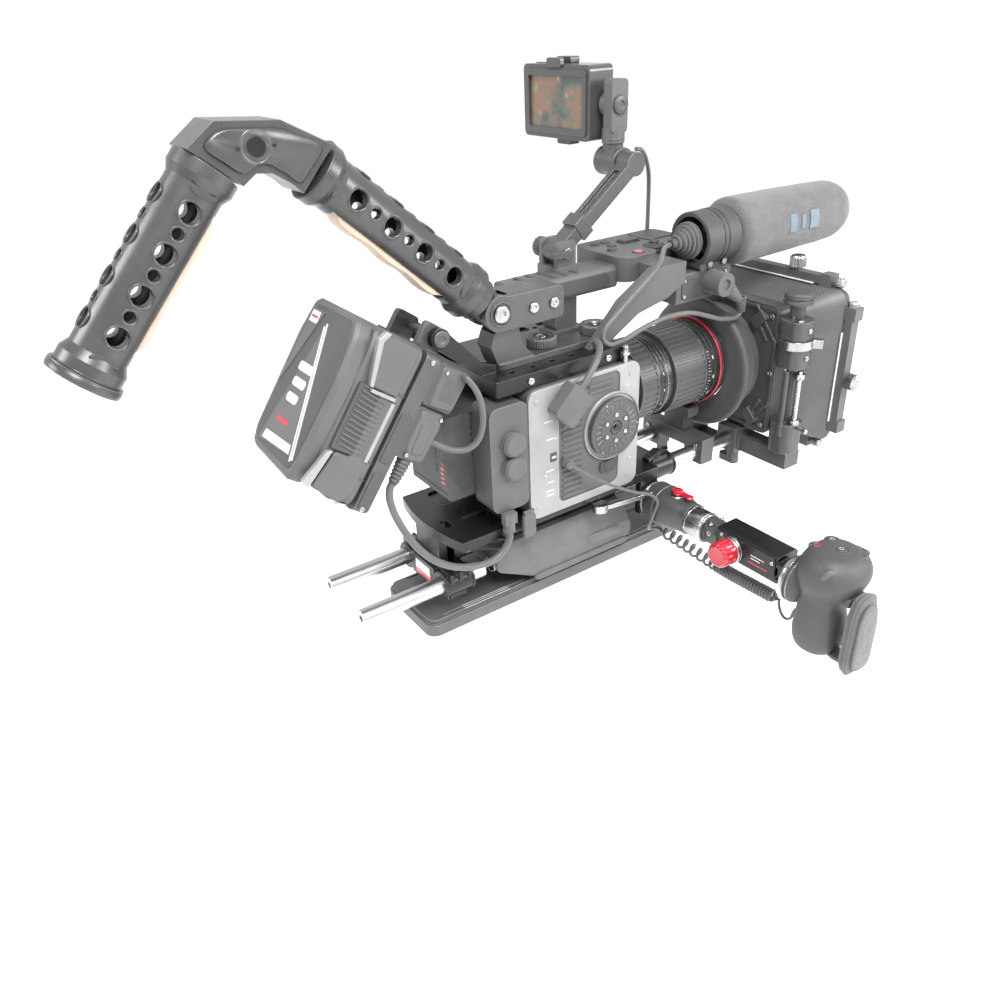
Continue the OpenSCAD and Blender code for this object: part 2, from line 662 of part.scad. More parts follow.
module battery_pack() color(grey) tilted() {
    difference() {
        union() {
            slab_y([-46, 17.4, -140], [46, 56, -12], 5);
            slab_y([-38, 56, -132], [46, 71, -12], 5);
        }
        block([-15, 16, -128], [15, 18.4, -20]);
        for (z = [-98 : 7 : -56]) block([-47, 24, z], [-43.5, 52, z + 3]);
        block([-47, 20, -50], [-44.5, 50, -47]);
        along_x(-47, -43.8) polygon([[30, -13], [56, -13], [56, -34], [40, -46], [30, -46]]);
    }
    along_x(-46.5, -44) polygon([[52, -134], [58, -134], [58, -98], [52, -104]]);
}

module battery_release() color(red) tilted() {
    slab_x([46.1, 4, -40], [51, 14, -20], 2);
}

// ---- monitor -------------------------------------------------------------

arm_x = 25;
arm_low = [-26, 287];
arm_tip = [-107, 348];
arm_len = norm(arm_tip - arm_low);
arm_angle = atan2(arm_tip.y - arm_low.y, arm_low.x - arm_tip.x);
swivel_x = 48;

// Children are drawn along -Y from the origin, which is the arm's lower pivot
module on_arm() translate([arm_x, arm_low.x, arm_low.y]) rotate([-arm_angle, 0, 0]) children();

module monitor_arm() color(dark) on_arm() difference() {
    union() {
        block([-8, -arm_len, -6], [8, 0, 6]);
        for (y = [0, -arm_len]) cyl_x([-8, y, 0], 10, 16);
        block([-9, -34, -9], [9, -22, 9]);
        cyl_x([8, -arm_len, 0], 4, 6);
    }
    block([-4, -arm_len + 14, 3], [4, -38, 8]);
    block([-4, -arm_len + 14, -8], [4, -38, -3]);
    for (k = [0 : 4]) cyl_z([0, -46 - k * 9, -10], 2.2, 20);
    cyl_x([-9, 0, 0], 2.95 + run, 18);
}

module arm_pin() color(silver) cyl_x([12, arm_low.x, arm_low.y], 2.95, 26);

module monitor_swivel() color(grey) difference() {
    union() {
        cyl_x([arm_x + 8.4, arm_tip.x, arm_tip.y], 12, 27);
        cyl_z([swivel_x, arm_tip.x, arm_tip.y + 6], 9, 9);
        cyl_z([swivel_x, arm_tip.x, arm_tip.y + 15], 4, 5);
    }
    cyl_x([arm_x + 7, arm_tip.x, arm_tip.y], 4 + run, 8);
}

yoke_z = arm_tip.y + 15.3;
tilt_axis_z = 394;

module monitor_yoke() color(grey) difference() {
    union() {
        cyl_z([swivel_x, arm_tip.x, yoke_z], 10, 12);
        slab_x([swivel_x - 8, arm_tip.x - 9, yoke_z + 8], [swivel_x + 3, arm_tip.x + 9, 414], 4);
        cyl_x([swivel_x + 2, arm_tip.x, tilt_axis_z], 10, 6);
        cyl_x([swivel_x + 8, arm_tip.x, tilt_axis_z], 4, 10);
    }
    cyl_z([swivel_x, arm_tip.x, yoke_z - 1], 4 + run, 6.2);
}

module monitor_body() color(dark) difference() {
    union() {
        slab_y([60, arm_tip.x - 9, 364], [155, arm_tip.x + 17, 425], 5);
        slab_y([72, arm_tip.x - 14, 372], [145, arm_tip.x - 9, 417], 4);
        for (z = [424.8, 358.2]) slab_y([97, arm_tip.x - 2, z], [117, arm_tip.x + 8, z + 6], 2);
    }
    along_y(arm_tip.x + 15, arm_tip.x + 18) translate([110, 393]) square([78, 45], center = true);
    cyl_x([59, arm_tip.x, tilt_axis_z], 4 + run, 8);
}

// ---- remote grip ---------------------------------------------------------

remote_y = -77;
remote_z = 60;
hub_x = -52.4;

// Cylinder on the arm's axis from x towards -X
module hub(x, r, h) cyl_x([x - h, remote_y, remote_z], r, h);

module remote_arm() color(mid) difference() {
    union() {
        hub(hub_x, 16, 6);
        hub(hub_x - 6, 19, 12);
        slab_x([-106, remote_y - 13, remote_z - 12], [-70, remote_y + 13, remote_z + 12], 6);
        hub(-104, 13, 22);
        slab_x([-140, remote_y - 8, remote_z - 10], [-125, remote_y + 8, remote_z + 10], 3);
        block([-190, remote_y - 5, remote_z - 6], [-139, remote_y + 5, remote_z + 6]);
        hub(hub_x + 7.6, 3.95, 10);
    }
    cyl_z([-84, remote_y, remote_z + 6], 5, 20);
}

module ratchet_button() color(red) {
    cyl_z([-84, remote_y, remote_z + 8.2], 4.9, 13.8);
    slab_z([-101, remote_y - 5, remote_z + 17], [-88, remote_y + 1, remote_z + 20], 2);
}

module remote_bar() color(dark) difference() {
    union() {
        slab_x([-206, remote_y - 17, remote_z - 13], [-141, remote_y + 8, remote_z + 13], 3);
        slab_x([-214, remote_y - 9, remote_z - 8], [-206, remote_y + 8, remote_z + 8], 3);
        hub(-214, 16, 5);
        hub(-219, 3.9, 8);
    }
    block([-191, remote_y - 5.1, remote_z - 6.1], [-140, remote_y + 5.1, remote_z + 6.1]);
    slab_x([-207, remote_y - 4, remote_z - 4], [-195, remote_y + 18, remote_z + 4], 2);
    cyl_y([-160, remote_y + 5, remote_z], 2.6, 8);
}

module remote_knob() color(red) difference() {
    union() {
        cyl_y([-160, remote_y + 5.2, remote_z], 2.5, 4);
        cyl_y([-160, remote_y + 8.4, remote_z], 12, 6);
        cyl_y([-160, remote_y + 14, remote_z], 11, 15);
    }
    for (a = [0 : 30 : 330])
        translate([-160, 0, remote_z]) rotate([0, a, 0]) cyl_y([11.6, remote_y + 15, 0], 1.4, 16);
}

module remote_grip() color(mid) difference() {
    union() {
        hub(-219.4, 21, 7);
        hull() {
            translate([-244, remote_y + 4, remote_z + 18]) sphere(r = 22, $fn = 28);
            translate([-258, remote_y - 14, remote_z + 20]) sphere(r = 18, $fn = 28);
            translate([-246, remote_y - 2, remote_z - 8]) sphere(r = 20, $fn = 28);
        }
        cyl_z([-246, remote_y - 2, 24], 20, remote_z - 32);
        translate([-246, remote_y - 2, 24]) sphere(r = 20);
    }
    hub(-218, 3.95, 10);
    for (p = [[-236, 4, 30], [-238, -12, 38], [-252, -4, 38], [-250, 12, 30]])
        cyl_z([p.x, remote_y + p.y, 87], 4.6, 20);
    cyl_x([-262, remote_y - 22, remote_z + 32], 5.2, 20);
}

module grip_buttons() color(dark) {
    for (p = [[-236, 4], [-238, -12], [-252, -4], [-250, 12]])
        cyl_z([p.x, remote_y + p.y, 88], 4.3, 13);
}

module hand_strap() color(grey) {
    slab_x([-288, remote_y - 21, 2], [-278, remote_y + 11, 76], 9);
    block([-279, remote_y - 12, 64], [-262, remote_y + 4, 70]);
    block([-279, remote_y - 10, 6], [-258, remote_y + 4, 12]);
}

// ---- cables --------------------------------------------------------------

mic_route = [[-18, -117, 284], [-22, -107, 283.5], [-32, -95, 282], [-42, -82, 278], [-46, -66, 269],
    [-46, -48, 257], [-46, -32, 246], [-46, -22, 239], [-46, -18, 234], [-46, -18, 228],
    [-47, -22, 223.5], [-48, -28, 222], [-49, -40, 224], [-50, -56, 229], [-51, -75, 233],
    [-52, -95, 234], [-51, -115, 231], [-49, -135, 224], [-46, -155, 216], [-44, -168, 212.5],
    [-44, -180, 211], [-44, -185, 212.5], [-44, -188, 216.5], [-44, -188, 221], [-44, -186, 225]];
monitor_route = [[31, -119, 358], [34, -128, 356], [40, -139, 348], [46, -149, 334],
    [50, -154, 316], [52, -156, 298], [52, -156, 279.2]];
battery_route = [[-41, 185.15, 159.94], [-41, 188.1, 155.9], [-43, 190, 148], [-47, 189, 136],
    [-52, 184, 120], [-56, 175, 103], [-58, 162, 88], [-58, 145, 76], [-58, 126, 69],
    [-58, 109, 68], [-58, 98, 74], [-58, 92, 83], [-58, 92, 90]];
plate_route = [[-39, 151.4, 185.7], [-39, 147.5, 182.9], [-41, 141, 177.5], [-45, 133, 173],
    [-50, 124, 172.5], [-54, 116, 178], [-56, 112, 188], [-57, 111, 200], [-56.5, 112, 212],
    [-54.5, 115, 222], [-52.5, 119, 229], [-49.5, 119.9, 230.8], [-46.1, 120, 231]];
handle_route = [[-63.4, 20.4, 199.6], [-63.4, 15, 205], [-62.5, 8, 212], [-60, 1, 218],
    [-55, -6, 223], [-49, -11, 225], [-44, -13.5, 225.5], [-40.2, -14, 225.5]];
lead_route = [[-62, 28.75, 132.35], [-66, 10, 117], [-70, -12, 102], [-74, -34, 90], [-77, -50, 83],
    [-78.5, -58, 74], [-77, -56, 62], [-72, -56, 48], [-64, -62, 37], [-59, -70, 31], [-60, -75, 30.5],
    [-63.5, -76.9, 30.97], [-66.9, -77, 31]];
coil_route = [[-67, -77, 31], [-90, -77, 30], [-120, -77, 28], [-150, -77, 27], [-180, -77, 28],
    [-205, -77, 29]];
tail_route = [[-206.6, -77, 29.5], [-207.2, -77, 23.5], [-210.3, -77, 17.3], [-215, -77, 14.5],
    [-219.5, -77, 17.5], [-221.3, -77, 23], [-222.6, -77, 27.8], [-225.1, -77, 30]];
coil_r = 6.2;

module mic_cable() color(mid) sweep(mic_route, 2);
module monitor_cable() color(grey) sweep(monitor_route, 2);
module battery_cable() color(mid) sweep(battery_route, 3);
module plate_cable() color(grey) sweep(plate_route, 2.4);
module handle_cable() color(grey) sweep(handle_route, 2.8, [0.3, 0, 1]);
module remote_lead() color(mid) sweep(lead_route, 1.3);
module remote_tail() color(mid) sweep(tail_route, 1.3, [0, 1, 0]);
module remote_coil() color(mid) sweep(coil_route, coil_r, [0, 1, 0], 12);

module cable_plugs() color(mid) {
    translate([-side_x - 0.4, 31, 189]) rotate([45, 0, 0]) slab_x([-12, -13, -15], [0, 13, 15], 3);
    cyl_z([-58, 92, 90.2], 5, 17);                        // power plug under the rear housing
    block([-62, 86, 98], [-56.2, 98, 107.9]);
    cyl_x([-65, 32, 135], 4, 7.6);                        // remote plug
    difference() {                                        // audio plug
        cyl_x([-50, -158, 247], 10.5, 22);
        cyl_x([-52, -158, 247], 5, 4);
    }
    translate([-44, -166, 242]) rotate([130, 0, 0]) cylinder(r1 = 7, r2 = 3, h = 26);
}

module fasteners() {
    color(grey) for (p = [[-14, 22, 6], [-18, -32, 6]])   // knurled thumb screws
        translate([p.x, p.y, deck_z + 5.1]) difference() {
            cylinder(r = 12, h = 8);
            translate([0, 0, 5]) cylinder(r = 3, h = 4, $fn = 6);
        }
    color(silver) {
        for (y = [24, 44]) translate([grip_x - 15.4, y, 265]) rotate([0, -90, 0]) cap_screw([0, 0, 0], 4.4, 2);
        translate([grip_x - 15.2, pivot_y, pivot_z]) rotate([0, -90, 0]) cap_screw([0, 0, 0], 6.5, 3);
        cyl_x([grip_x - 14, pivot_y, pivot_z], 3.95, 28);
        for (y = [-20, 60]) translate([-50.1, y, cam_top + 6.5]) rotate([0, -90, 0]) cap_screw([0, 0, 0], 3, 1.5);
        cyl_z([-54.4, -35, deck_z - 13], 2.4, 9);
        cyl_z([-54.4, -35, deck_z - 6], 4.2, 3);
    }
    arm_pin();
}

adapter_plate();
shoulder_pad();
base_plate();
rod_clamps();
rods();
top_plate();
camera_body();
side_panel();
cooling_grille();
grip_rosette();
camera_battery();
lens_barrel();
lens_glass();
zoom_ring();
focus_ring();
cable_plugs();
fasteners();
top_handle();
zoom_rocker();
handle_button();
mic_holder();
microphone();
windscreen();
handle_bracket();
grip_inner();
grip_elbow();
grip_outer();
grip_inserts();
matte_foot();
matte_stage();
donut();
hood();
swing_latch();
lens_support();
quick_lever();
port_flap();
side_button();
battery_plate();
battery_connectors();
battery_pack();
battery_release();
monitor_arm();
monitor_swivel();
monitor_yoke();
monitor_body();
remote_arm();
ratchet_button();
remote_bar();
remote_knob();
remote_grip();
grip_buttons();
hand_strap();
mic_cable();
monitor_cable();
battery_cable();
plate_cable();
handle_cable();
remote_lead();
remote_coil();
remote_tail();
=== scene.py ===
"""Looks of the cinema camera rig. Metres, +Z up, -Y is where the lens points, -X the operator's right."""
import math

import bmesh
import bpy
from mathutils import Matrix, Vector


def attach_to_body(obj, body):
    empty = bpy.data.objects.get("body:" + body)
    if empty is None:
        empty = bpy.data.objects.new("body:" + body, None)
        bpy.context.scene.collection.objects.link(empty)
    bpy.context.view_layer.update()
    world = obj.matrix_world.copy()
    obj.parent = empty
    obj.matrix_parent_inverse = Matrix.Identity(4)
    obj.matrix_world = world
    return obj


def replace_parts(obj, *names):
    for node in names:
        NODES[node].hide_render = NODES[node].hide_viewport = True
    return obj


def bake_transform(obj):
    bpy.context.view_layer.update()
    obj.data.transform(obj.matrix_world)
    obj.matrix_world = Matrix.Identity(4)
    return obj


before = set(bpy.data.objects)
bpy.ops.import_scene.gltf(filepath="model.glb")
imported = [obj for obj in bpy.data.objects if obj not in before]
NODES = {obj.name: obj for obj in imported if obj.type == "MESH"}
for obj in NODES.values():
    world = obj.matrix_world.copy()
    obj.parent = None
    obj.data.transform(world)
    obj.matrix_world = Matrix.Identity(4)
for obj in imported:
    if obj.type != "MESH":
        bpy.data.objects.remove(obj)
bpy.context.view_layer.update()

MM = 0.001


def mm(*xyz):
    """A point given in millimetres, as a vector in metres."""
    return Vector(xyz) * MM


# ---- camera ----------------------------------------------------------------

CAMERA_AT = mm(-568.2, 436.5, 466.4)
CAMERA_AZIMUTH = math.radians(-123.42)
CAMERA_ELEVATION = math.radians(29.36)
CAMERA_ROLL = math.radians(-2.75)
FOCAL_MM = 31.13


def make_camera():
    """The camera at the photograph's viewing angle."""
    flat = math.cos(CAMERA_ELEVATION)
    back = Vector((math.sin(CAMERA_AZIMUTH) * flat, -math.cos(CAMERA_AZIMUTH) * flat,
                   math.sin(CAMERA_ELEVATION)))
    right = Vector((0, 0, 1)).cross(back).normalized()
    up = back.cross(right)
    c, s = math.cos(CAMERA_ROLL), math.sin(CAMERA_ROLL)
    rolled_right = right * c + up * s
    rolled_up = up * c - right * s
    data = bpy.data.cameras.new("camera")
    data.lens = FOCAL_MM
    data.sensor_width = 36
    data.clip_start = 0.01
    camera = bpy.data.objects.new("camera", data)
    bpy.context.scene.collection.objects.link(camera)
    turn = Matrix((rolled_right, rolled_up, back)).transposed().to_4x4()
    camera.matrix_world = Matrix.Translation(CAMERA_AT) @ turn
    bpy.context.scene.camera = camera


make_camera()

# ---- materials -------------------------------------------------------------


class Shader:
    """A Principled material whose colour, roughness and bump are built up step by step."""

    def __init__(self, name, color, rough=0.5, metal=0.0, coat=0.0, sheen=0.0, specular=0.5):
        self.material = bpy.data.materials.new(name)
        self.material.use_nodes = True
        self.tree = self.material.node_tree
        self.bsdf = self.tree.nodes["Principled BSDF"]
        self.bsdf.inputs["Base Color"].default_value = (*color, 1)
        self.bsdf.inputs["Roughness"].default_value = rough
        self.bsdf.inputs["Metallic"].default_value = metal
        self.bsdf.inputs["Coat Weight"].default_value = coat
        self.bsdf.inputs["Sheen Weight"].default_value = sheen
        self.bsdf.inputs["Specular IOR Level"].default_value = specular
        self.color = color
        self.rough = rough
        self.where = self.node("ShaderNodeTexCoord").outputs["Object"]
        self.color_out = None
        self.normal = None

    def node(self, kind, **settings):
        made = self.tree.nodes.new(kind)
        for key, value in settings.items():
            setattr(made, key, value)
        return made

    def link(self, a, b):
        self.tree.links.new(a, b)

    def noise(self, scale, detail=3.0, stretch=None):
        texture = self.node("ShaderNodeTexNoise")
        texture.inputs["Scale"].default_value = scale
        texture.inputs["Detail"].default_value = detail
        self.link(self.stretched(stretch), texture.inputs["Vector"])
        return texture.outputs["Fac"]

    def stretched(self, stretch, turn=(0, 0, 0)):
        if stretch is None and turn == (0, 0, 0):
            return self.where
        mapping = self.node("ShaderNodeMapping")
        mapping.inputs["Scale"].default_value = stretch or (1, 1, 1)
        mapping.inputs["Rotation"].default_value = turn
        self.link(self.where, mapping.inputs["Vector"])
        return mapping.outputs["Vector"]

    def ramp(self, factor, low, high):
        made = self.node("ShaderNodeMapRange")
        made.inputs["From Min"].default_value = low
        made.inputs["From Max"].default_value = high
        self.link(factor, made.inputs["Value"])
        return made.outputs["Result"]

    def math(self, operation, a, b=None):
        made = self.node("ShaderNodeMath", operation=operation)
        for socket, value in zip(made.inputs, (a, b)):
            if value is None:
                continue
            if isinstance(value, (int, float)):
                socket.default_value = value
            else:
                self.link(value, socket)
        return made.outputs[0]

    def tint(self, factor, other, strength=1.0):
        """Mixes the colour so far towards another one where factor is 1."""
        mix = self.node("ShaderNodeMix", data_type="RGBA")
        scaled = self.math("MULTIPLY", factor, strength)
        self.link(scaled, mix.inputs["Factor"])
        if self.color_out is None:
            mix.inputs["A"].default_value = (*self.color, 1)
        else:
            self.link(self.color_out, mix.inputs["A"])
        mix.inputs["B"].default_value = (*other, 1)
        self.color_out = mix.outputs["Result"]
        self.link(self.color_out, self.bsdf.inputs["Base Color"])
        return self

    def mottle(self, scale, amount, stretch=None):
        """Uneven colour and roughness, as on a used surface."""
        patch = self.ramp(self.noise(scale, 4, stretch), 0.3, 0.7)
        darker = tuple(c * (1 - amount) for c in self.color)
        self.tint(patch, darker)
        shine = self.node("ShaderNodeMapRange")
        shine.inputs["To Min"].default_value = max(0.05, self.rough - 0.25 * amount - 0.05)
        shine.inputs["To Max"].default_value = min(1, self.rough + 0.25 * amount + 0.05)
        self.link(self.noise(scale * 2.7, 3, stretch), shine.inputs["Value"])
        self.link(shine.outputs["Result"], self.bsdf.inputs["Roughness"])
        return self

    def edges(self, color, strength=0.5, radius=0.9 * MM):
        """Rounds the edges in shading and lets a lighter worn colour show along them."""
        soft = self.node("ShaderNodeBevel", samples=4)
        soft.inputs["Radius"].default_value = radius
        hard = self.node("ShaderNodeNewGeometry")
        dot = self.node("ShaderNodeVectorMath", operation="DOT_PRODUCT")
        self.link(soft.outputs["Normal"], dot.inputs[0])
        self.link(hard.outputs["Normal"], dot.inputs[1])
        worn = self.ramp(dot.outputs["Value"], 0.97, 0.75)
        self.tint(worn, color, strength)
        self.normal = soft.outputs["Normal"]
        self.link(self.normal, self.bsdf.inputs["Normal"])
        return self

    def bump(self, height, distance, strength=1.0):
        made = self.node("ShaderNodeBump")
        made.inputs["Distance"].default_value = distance
        made.inputs["Strength"].default_value = strength
        self.link(height, made.inputs["Height"])
        if self.normal is not None:
            self.link(self.normal, made.inputs["Normal"])
        self.normal = made.outputs["Normal"]
        self.link(self.normal, self.bsdf.inputs["Normal"])
        return self

    def stripes(self, scale, turn=(0, 0, 0), direction="X"):
        wave = self.node("ShaderNodeTexWave", bands_direction=direction)
        wave.inputs["Scale"].default_value = scale
        self.link(self.stretched(None, turn), wave.inputs["Vector"])
        return wave.outputs["Fac"]


def anodised(name, color, rough=0.42, worn=(0.5, 0.5, 0.5), wear=0.35):
    """Blasted and dyed aluminium: fine grain, lighter worn edges."""
    s = Shader(name, color, rough, 0.35)
    s.mottle(45, 0.18).edges(worn, wear)
    return s.bump(s.noise(2600, 2), 0.05 * MM, 0.5).material


def moulded(name, color, rough=0.55, grain=1500, depth=0.08, wear=0.25):
    """Moulded plastic with a spark-eroded grain."""
    s = Shader(name, color, rough)
    s.mottle(30, 0.14).edges(tuple(min(1, c * 1.7 + 0.04) for c in color), wear)
    return s.bump(s.noise(grain, 3), depth * MM, 0.7).material


def rubber(name, color, rough=0.72):
    s = Shader(name, color, rough, sheen=0.15)
    s.mottle(60, 0.2).edges(tuple(min(1, c * 1.5 + 0.02) for c in color), 0.2)
    return s.bump(s.noise(900, 4), 0.12 * MM, 0.6).material


def bare_metal(name, color=(0.72, 0.72, 0.73), rough=0.26, stretch=(900, 20, 900)):
    """Machined metal with drawn lines along Y."""
    s = Shader(name, color, rough, 1.0)
    s.mottle(1, 0.16, stretch).edges((0.9, 0.9, 0.9), 0.3)
    return s.bump(s.noise(1, 3, stretch), 0.02 * MM, 0.5).material


def gloss(name, color, rough=0.22):
    s = Shader(name, color, rough, coat=0.35)
    s.mottle(80, 0.12).edges(tuple(min(1, c * 1.4 + 0.05) for c in color), 0.3)
    return s.bump(s.noise(1200, 2), 0.02 * MM, 0.4).material


def foam(name, color):
    """Open-cell foam: pits and a furry sheen."""
    s = Shader(name, color, 0.95, sheen=0.3, specular=0.1)
    cells = s.node("ShaderNodeTexVoronoi")
    cells.inputs["Scale"].default_value = 900
    s.link(s.where, cells.inputs["Vector"])
    s.tint(s.ramp(cells.outputs["Distance"], 0.15, 0.6), tuple(c * 1.5 for c in color), 0.7)
    s.tint(s.ramp(s.noise(60, 4), 0.35, 0.65), tuple(c * 0.8 for c in color), 0.5)
    return s.bump(cells.outputs["Distance"], 0.5 * MM, 0.9).material


def carbon(name, color, scale=210):
    """Composite sheet with fine diagonal bands."""
    s = Shader(name, color, 0.5)
    bands = s.stripes(scale, direction="DIAGONAL")
    s.tint(s.ramp(bands, 0.25, 0.8), tuple(min(1, c * 2.2 + 0.03) for c in color), 0.75)
    s.tint(s.ramp(s.noise(40, 3), 0.35, 0.7), tuple(c * 0.8 for c in color), 0.4)
    return s.bump(bands, 0.03 * MM, 0.5).material


def woven(name, color, scale=900):
    s = Shader(name, color, 0.85, sheen=0.35)
    weave = s.math("MULTIPLY", s.stripes(scale), s.stripes(scale, direction="Z"))
    s.tint(weave, tuple(min(1, c * 1.6 + 0.02) for c in color), 0.6)
    s.tint(s.ramp(s.noise(50, 3), 0.35, 0.7), tuple(c * 0.75 for c in color), 0.4)
    return s.bump(weave, 0.2 * MM, 0.8).material


def coated_glass(name):
    s = Shader(name, (0.06, 0.05, 0.09), 0.04, coat=1.0)
    s.tint(s.ramp(s.noise(25, 2), 0.3, 0.75), (0.10, 0.06, 0.14), 0.8)
    return s.bump(s.noise(8, 1), 0.002 * MM, 0.1).material


def screen_picture(name):
    """A made-up test picture on the monitor: soft coloured bands and blobs."""
    s = Shader(name, (0.04, 0.055, 0.055), 0.18, coat=0.3)
    s.tint(s.ramp(s.noise(38, 2), 0.42, 0.58), (0.16, 0.09, 0.06), 0.9)
    s.tint(s.ramp(s.noise(55, 3, (1, 1, 2)), 0.5, 0.62), (0.06, 0.10, 0.06), 0.8)
    s.tint(s.ramp(s.noise(90, 2), 0.6, 0.7), (0.22, 0.2, 0.18), 0.8)
    s.link(s.color_out, s.bsdf.inputs["Emission Color"])
    s.bsdf.inputs["Emission Strength"].default_value = 0.12
    return s.material


MAT = {
    "black": anodised("black_anodised", (0.012, 0.012, 0.013), 0.3, (0.3, 0.3, 0.3), 0.25),
    "grey": anodised("grey_anodised", (0.071, 0.071, 0.074), 0.4),
    "tube": anodised("grip_anodised", (0.059, 0.059, 0.06), 0.3),
    "pale_grey": anodised("plate_anodised", (0.092, 0.092, 0.094), 0.5),
    "silver": anodised("silver_paint", (0.278, 0.278, 0.283), 0.42, (0.75, 0.75, 0.75), 0.3),
    "shell": moulded("grey_shell", (0.074, 0.074, 0.075)),
    "dark_shell": moulded("dark_shell", (0.044, 0.044, 0.045)),
    "camera": anodised("camera_paint", (0.092, 0.092, 0.093), 0.5),
    "battery": moulded("battery_shell", (0.074, 0.074, 0.075), 0.5, 1300),
    "lens": anodised("lens_black", (0.027, 0.027, 0.028), 0.24, (0.3, 0.3, 0.3), 0.3),
    "ring": rubber("ring_rubber", (0.033, 0.033, 0.034), 0.4),
    "rubber": rubber("soft_rubber", (0.075, 0.075, 0.076)),
    "donut": rubber("donut_rubber", (0.053, 0.053, 0.054), 0.62),
    "pad": rubber("pad_rubber", (0.08, 0.08, 0.081), 0.66),
    "cable": rubber("cable_sheath", (0.077, 0.077, 0.079), 0.5),
    "rod": bare_metal("bare_rod", (0.5, 0.5, 0.51), 0.3),
    "steel": bare_metal("screw_steel", (0.384, 0.384, 0.384), 0.24, (60, 60, 60)),
    "red": gloss("red_part", (0.413, 0.009, 0.022)),
    "pale": gloss("pale_print", (0.496, 0.496, 0.496), 0.4),
    "white": gloss("white_line", (0.9, 0.9, 0.9), 0.5),
    "blue": rubber("pale_blue_print", (0.124, 0.173, 0.206), 0.8),
    "beige": rubber("beige_insert", (0.459, 0.351, 0.268), 0.6),
    "foam": foam("foam", (0.086, 0.086, 0.088)),
    "strap": woven("strap_fabric", (0.05, 0.05, 0.051)),
    "hood": carbon("carbon_hood", (0.053, 0.053, 0.054)),
    "glass": coated_glass("lens_coating"),
    "screen": screen_picture("screen_picture"),
    "bezel": gloss("screen_plastic", (0.045, 0.045, 0.046), 0.3),
}

LOOK = {
    "adapter_plate": "pale_grey", "shoulder_pad": "pad", "base_plate": "black", "rod_clamps": "black",
    "rods": "rod", "top_plate": "black", "camera_body": "camera", "side_panel": "silver",
    "cooling_grille": "shell", "grip_rosette": "grey", "camera_battery": "dark_shell",
    "lens_barrel": "lens", "lens_glass": "glass", "zoom_ring": "ring", "focus_ring": "ring",
    "cable_plugs": "rubber", "fasteners": "steel", "top_handle": "shell", "zoom_rocker": "dark_shell",
    "handle_button": "red", "mic_holder": "dark_shell", "microphone": "dark_shell", "windscreen": "foam",
    "handle_bracket": "grey", "grip_inner": "tube", "grip_elbow": "tube", "grip_outer": "tube",
    "grip_inserts": "beige", "matte_foot": "grey", "matte_stage": "grey", "donut": "donut",
    "hood": "hood", "swing_latch": "steel", "lens_support": "grey", "quick_lever": "steel",
    "port_flap": "rubber", "side_button": "dark_shell", "battery_plate": "grey",
    "battery_connectors": "dark_shell", "battery_pack": "battery", "battery_release": "red",
    "monitor_arm": "grey", "monitor_swivel": "grey", "monitor_yoke": "shell", "monitor_body": "bezel",
    "remote_arm": "grey", "ratchet_button": "red", "remote_bar": "black", "remote_knob": "red",
    "remote_grip": "shell", "grip_buttons": "dark_shell", "hand_strap": "strap",
}


def paint_cad():
    """Every carried-over CAD node gets its material."""
    for node, look in LOOK.items():
        data = NODES[node].data
        data.materials.clear()
        data.materials.append(MAT[look])


paint_cad()

# ---- mesh helpers ----------------------------------------------------------


def circle(steps):
    """The cosine and sine of each step round a circle."""
    return [(math.cos(2 * math.pi * k / steps), math.sin(2 * math.pi * k / steps)) for k in range(steps)]


def join_rings(bm, a, b):
    """Faces between two rings with as many points."""
    count = len(a)
    for k in range(count):
        bm.faces.new((a[k], a[(k + 1) % count], b[(k + 1) % count], b[k]))


def skin(bm, rings, closed=False):
    """Faces along a stack of rings, which ends in two caps or is joined into a loop."""
    for a, b in zip(rings, rings[1:]):
        join_rings(bm, a, b)
    if closed:
        join_rings(bm, rings[-1], rings[0])
    else:
        bm.faces.new(rings[0][::-1])
        bm.faces.new(rings[-1])


def finish_mesh(name, bm, look, smooth=35):
    """Turns a bmesh into a piece of the scene."""
    bmesh.ops.recalc_face_normals(bm, faces=bm.faces)
    data = bpy.data.meshes.new(name)
    bm.to_mesh(data)
    bm.free()
    data.materials.append(MAT[look])
    data.shade_smooth()
    data.set_sharp_from_angle(angle=math.radians(smooth))
    made = bpy.data.objects.new(name, data)
    bpy.context.scene.collection.objects.link(made)
    return made


def attach(piece, body, slot, *replaced):
    """The piece rides on a body and stands for CAD nodes; its slot is not used."""
    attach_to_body(piece, body)
    if replaced:
        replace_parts(piece, *replaced)
    return piece


def catmull(points, per_span):
    """A smooth line through the points."""
    p = [points[0] * 2 - points[1], *points, points[-1] * 2 - points[-2]]
    line = []
    for i in range(1, len(p) - 2):
        for k in range(per_span):
            t = k / per_span
            line.append(0.5 * (2 * p[i] + (p[i + 1] - p[i - 1]) * t
                        + (2 * p[i - 1] - 5 * p[i] + 4 * p[i + 1] - p[i + 2]) * t * t
                        + (3 * p[i] - p[i - 1] - 3 * p[i + 1] + p[i + 2]) * t ** 3))
    line.append(points[-1])
    return line


def sweep(name, path, radius, look, sides):
    """A tube along a path, without twist, with closed ends."""
    bm = bmesh.new()
    across = None
    rings = []
    for i, point in enumerate(path):
        along = (path[min(i + 1, len(path) - 1)] - path[max(i - 1, 0)]).normalized()
        if across is None:
            across = along.orthogonal().normalized()
        across = (across - along * across.dot(along)).normalized()
        other = along.cross(across)
        rings.append([bm.verts.new(point + (across * c + other * s) * radius) for c, s in circle(sides)])
    skin(bm, rings)
    return finish_mesh(name, bm, look, 60)


# ---- cords -----------------------------------------------------------------

